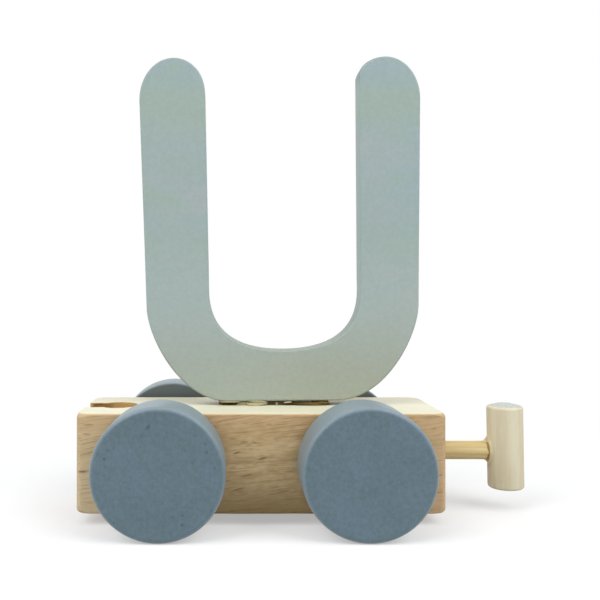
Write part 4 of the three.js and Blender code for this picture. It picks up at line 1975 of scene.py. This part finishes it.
@dataclass
class Studio:
    """White table-top studio: floor, surround, soft lamps and the camera."""

    camera: Triple = (-16.95 * MM, -154.0 * MM, 47.15 * MM)
    focal_pixels: float = 700.0
    picture_pixels: float = 600.0
    vanishing_x: float = 228.0
    vanishing_y: float = 294.0
    sensor: float = 36.0
    clip_start: float = 0.01
    floor_half: float = 3.0
    floor_clear_mm: Pair = (75.0, 170.0)
    surround: float = 0.42
    floor_bounce: Colour = (0.55, 0.55, 0.55, 1.0)
    floor_white: Colour = (0.9, 0.9, 0.9, 1.0)
    floor_glow: float = 0.4
    lamps: tuple[Lamp, ...] = (
        Lamp("lamp_left", (-0.63, -0.394, 0.72), 0.7, 5.9, (0.98, 0.99, 1.0)),
        Lamp("lamp_right", (0.63, -0.394, 0.72), 0.7, 5.9, (0.98, 0.99, 1.0)),
        Lamp("lamp_above", (0.0, -0.25, 0.95), 0.6, 1.3, (0.94, 0.97, 1.0)),
        Lamp("lamp_back", (0.0, 0.60, 0.60), 0.8, 0.8, (0.94, 0.97, 1.0)),
    )

    def build_camera(self) -> None:
        """Sets the camera level, looking along +Y, with its shift from the vanishing point."""
        data = bpy.data.cameras.new("camera")
        data.sensor_width = self.sensor
        data.lens = self.focal_pixels * self.sensor / self.picture_pixels
        data.shift_x = 0.5 - self.vanishing_x / self.picture_pixels
        data.shift_y = self.vanishing_y / self.picture_pixels - 0.5
        data.clip_start = self.clip_start
        camera = bpy.data.objects.new("camera", data)
        camera.location = self.camera
        camera.rotation_euler = (math.pi / 2, 0.0, 0.0)
        bpy.context.scene.collection.objects.link(camera)
        bpy.context.scene.camera = camera

    def build_world(self) -> None:
        """White surround where it is seen or mirrored, and a plain even light everywhere else."""
        world = bpy.data.worlds.new("surround")
        shader = Shader(world)
        strength = shader.step(shader.seen(), 0.0, 1.0, self.surround, 1.0)
        light = shader.node("ShaderNodeBackground", inputs={"Color": WHITE, "Strength": strength})
        shader.end(light, "ShaderNodeOutputWorld")
        bpy.context.scene.world = world

    def build_floor(self) -> None:
        """White floor that keeps a soft shadow near the car and fades to plain white further off."""
        half = self.floor_half
        mesh = bpy.data.meshes.new("floor")
        corners = [(-half, -half, 0.0), (half, -half, 0.0), (half, half, 0.0), (-half, half, 0.0)]
        mesh.from_pydata(corners, [], [(0, 1, 2, 3)])
        floor = bpy.data.objects.new("floor", mesh)
        bpy.context.scene.collection.objects.link(floor)
        material = bpy.data.materials.new("floor_white")
        shader = Shader(material)
        x, y, _ = shader.parts(shader.position())
        away = shader.step((x * x + y * y) ** 0.5, *self.floor_clear_mm, self.floor_glow, 1.0)
        seen = shader.seen()
        colour = shader.mix(seen, self.floor_bounce, self.floor_white)
        card = shader.node("ShaderNodeBsdfDiffuse", inputs={"Color": colour})
        white = shader.node("ShaderNodeEmission", inputs={"Color": WHITE, "Strength": 1.0})
        surface = shader.node("ShaderNodeMixShader", inputs={0: away * seen, 1: card, 2: white})
        shader.end(surface, "ShaderNodeOutputMaterial")
        mesh.materials.append(material)

    def build(self) -> None:
        """Makes the camera, the surround, the floor and the lamps."""
        self.build_camera()
        self.build_world()
        self.build_floor()
        low, high = CAD_BOX
        for lamp in self.lamps:
            lamp.build((low + high) / 2)
        bpy.context.scene.view_settings.view_transform = "Standard"


def main() -> None:
    """Builds the studio and the car, one sub-assembly after the other, and reports each piece."""
    logging.basicConfig(level=logging.INFO, format="%(name)s: %(message)s")
    Studio().build()
    glue = GlueFinish()
    pieces = [
        *WagonBlock().build(BeechFinish()),
        *LetterU().build(LetterPaint()),
        *LetterGlue().build(glue),
        *LetterPins().build(PIN_WOOD),
        *Wheelset(AxleEnd.SOCKET).build(WheelPaint(), AXLE_WOOD, PITS),
        *Wheelset(AxleEnd.PEG).build(WheelPaint(), AXLE_WOOD, ()),
        *CouplingPeg().build(DRAWBAR_WOOD, BARREL_WOOD, glue),
    ]
    for piece in pieces:
        LOG.info("%s in %s, %d faces", piece.name, piece.active_material.name, len(piece.data.polygons))


if __name__ == "__main__":
    main()
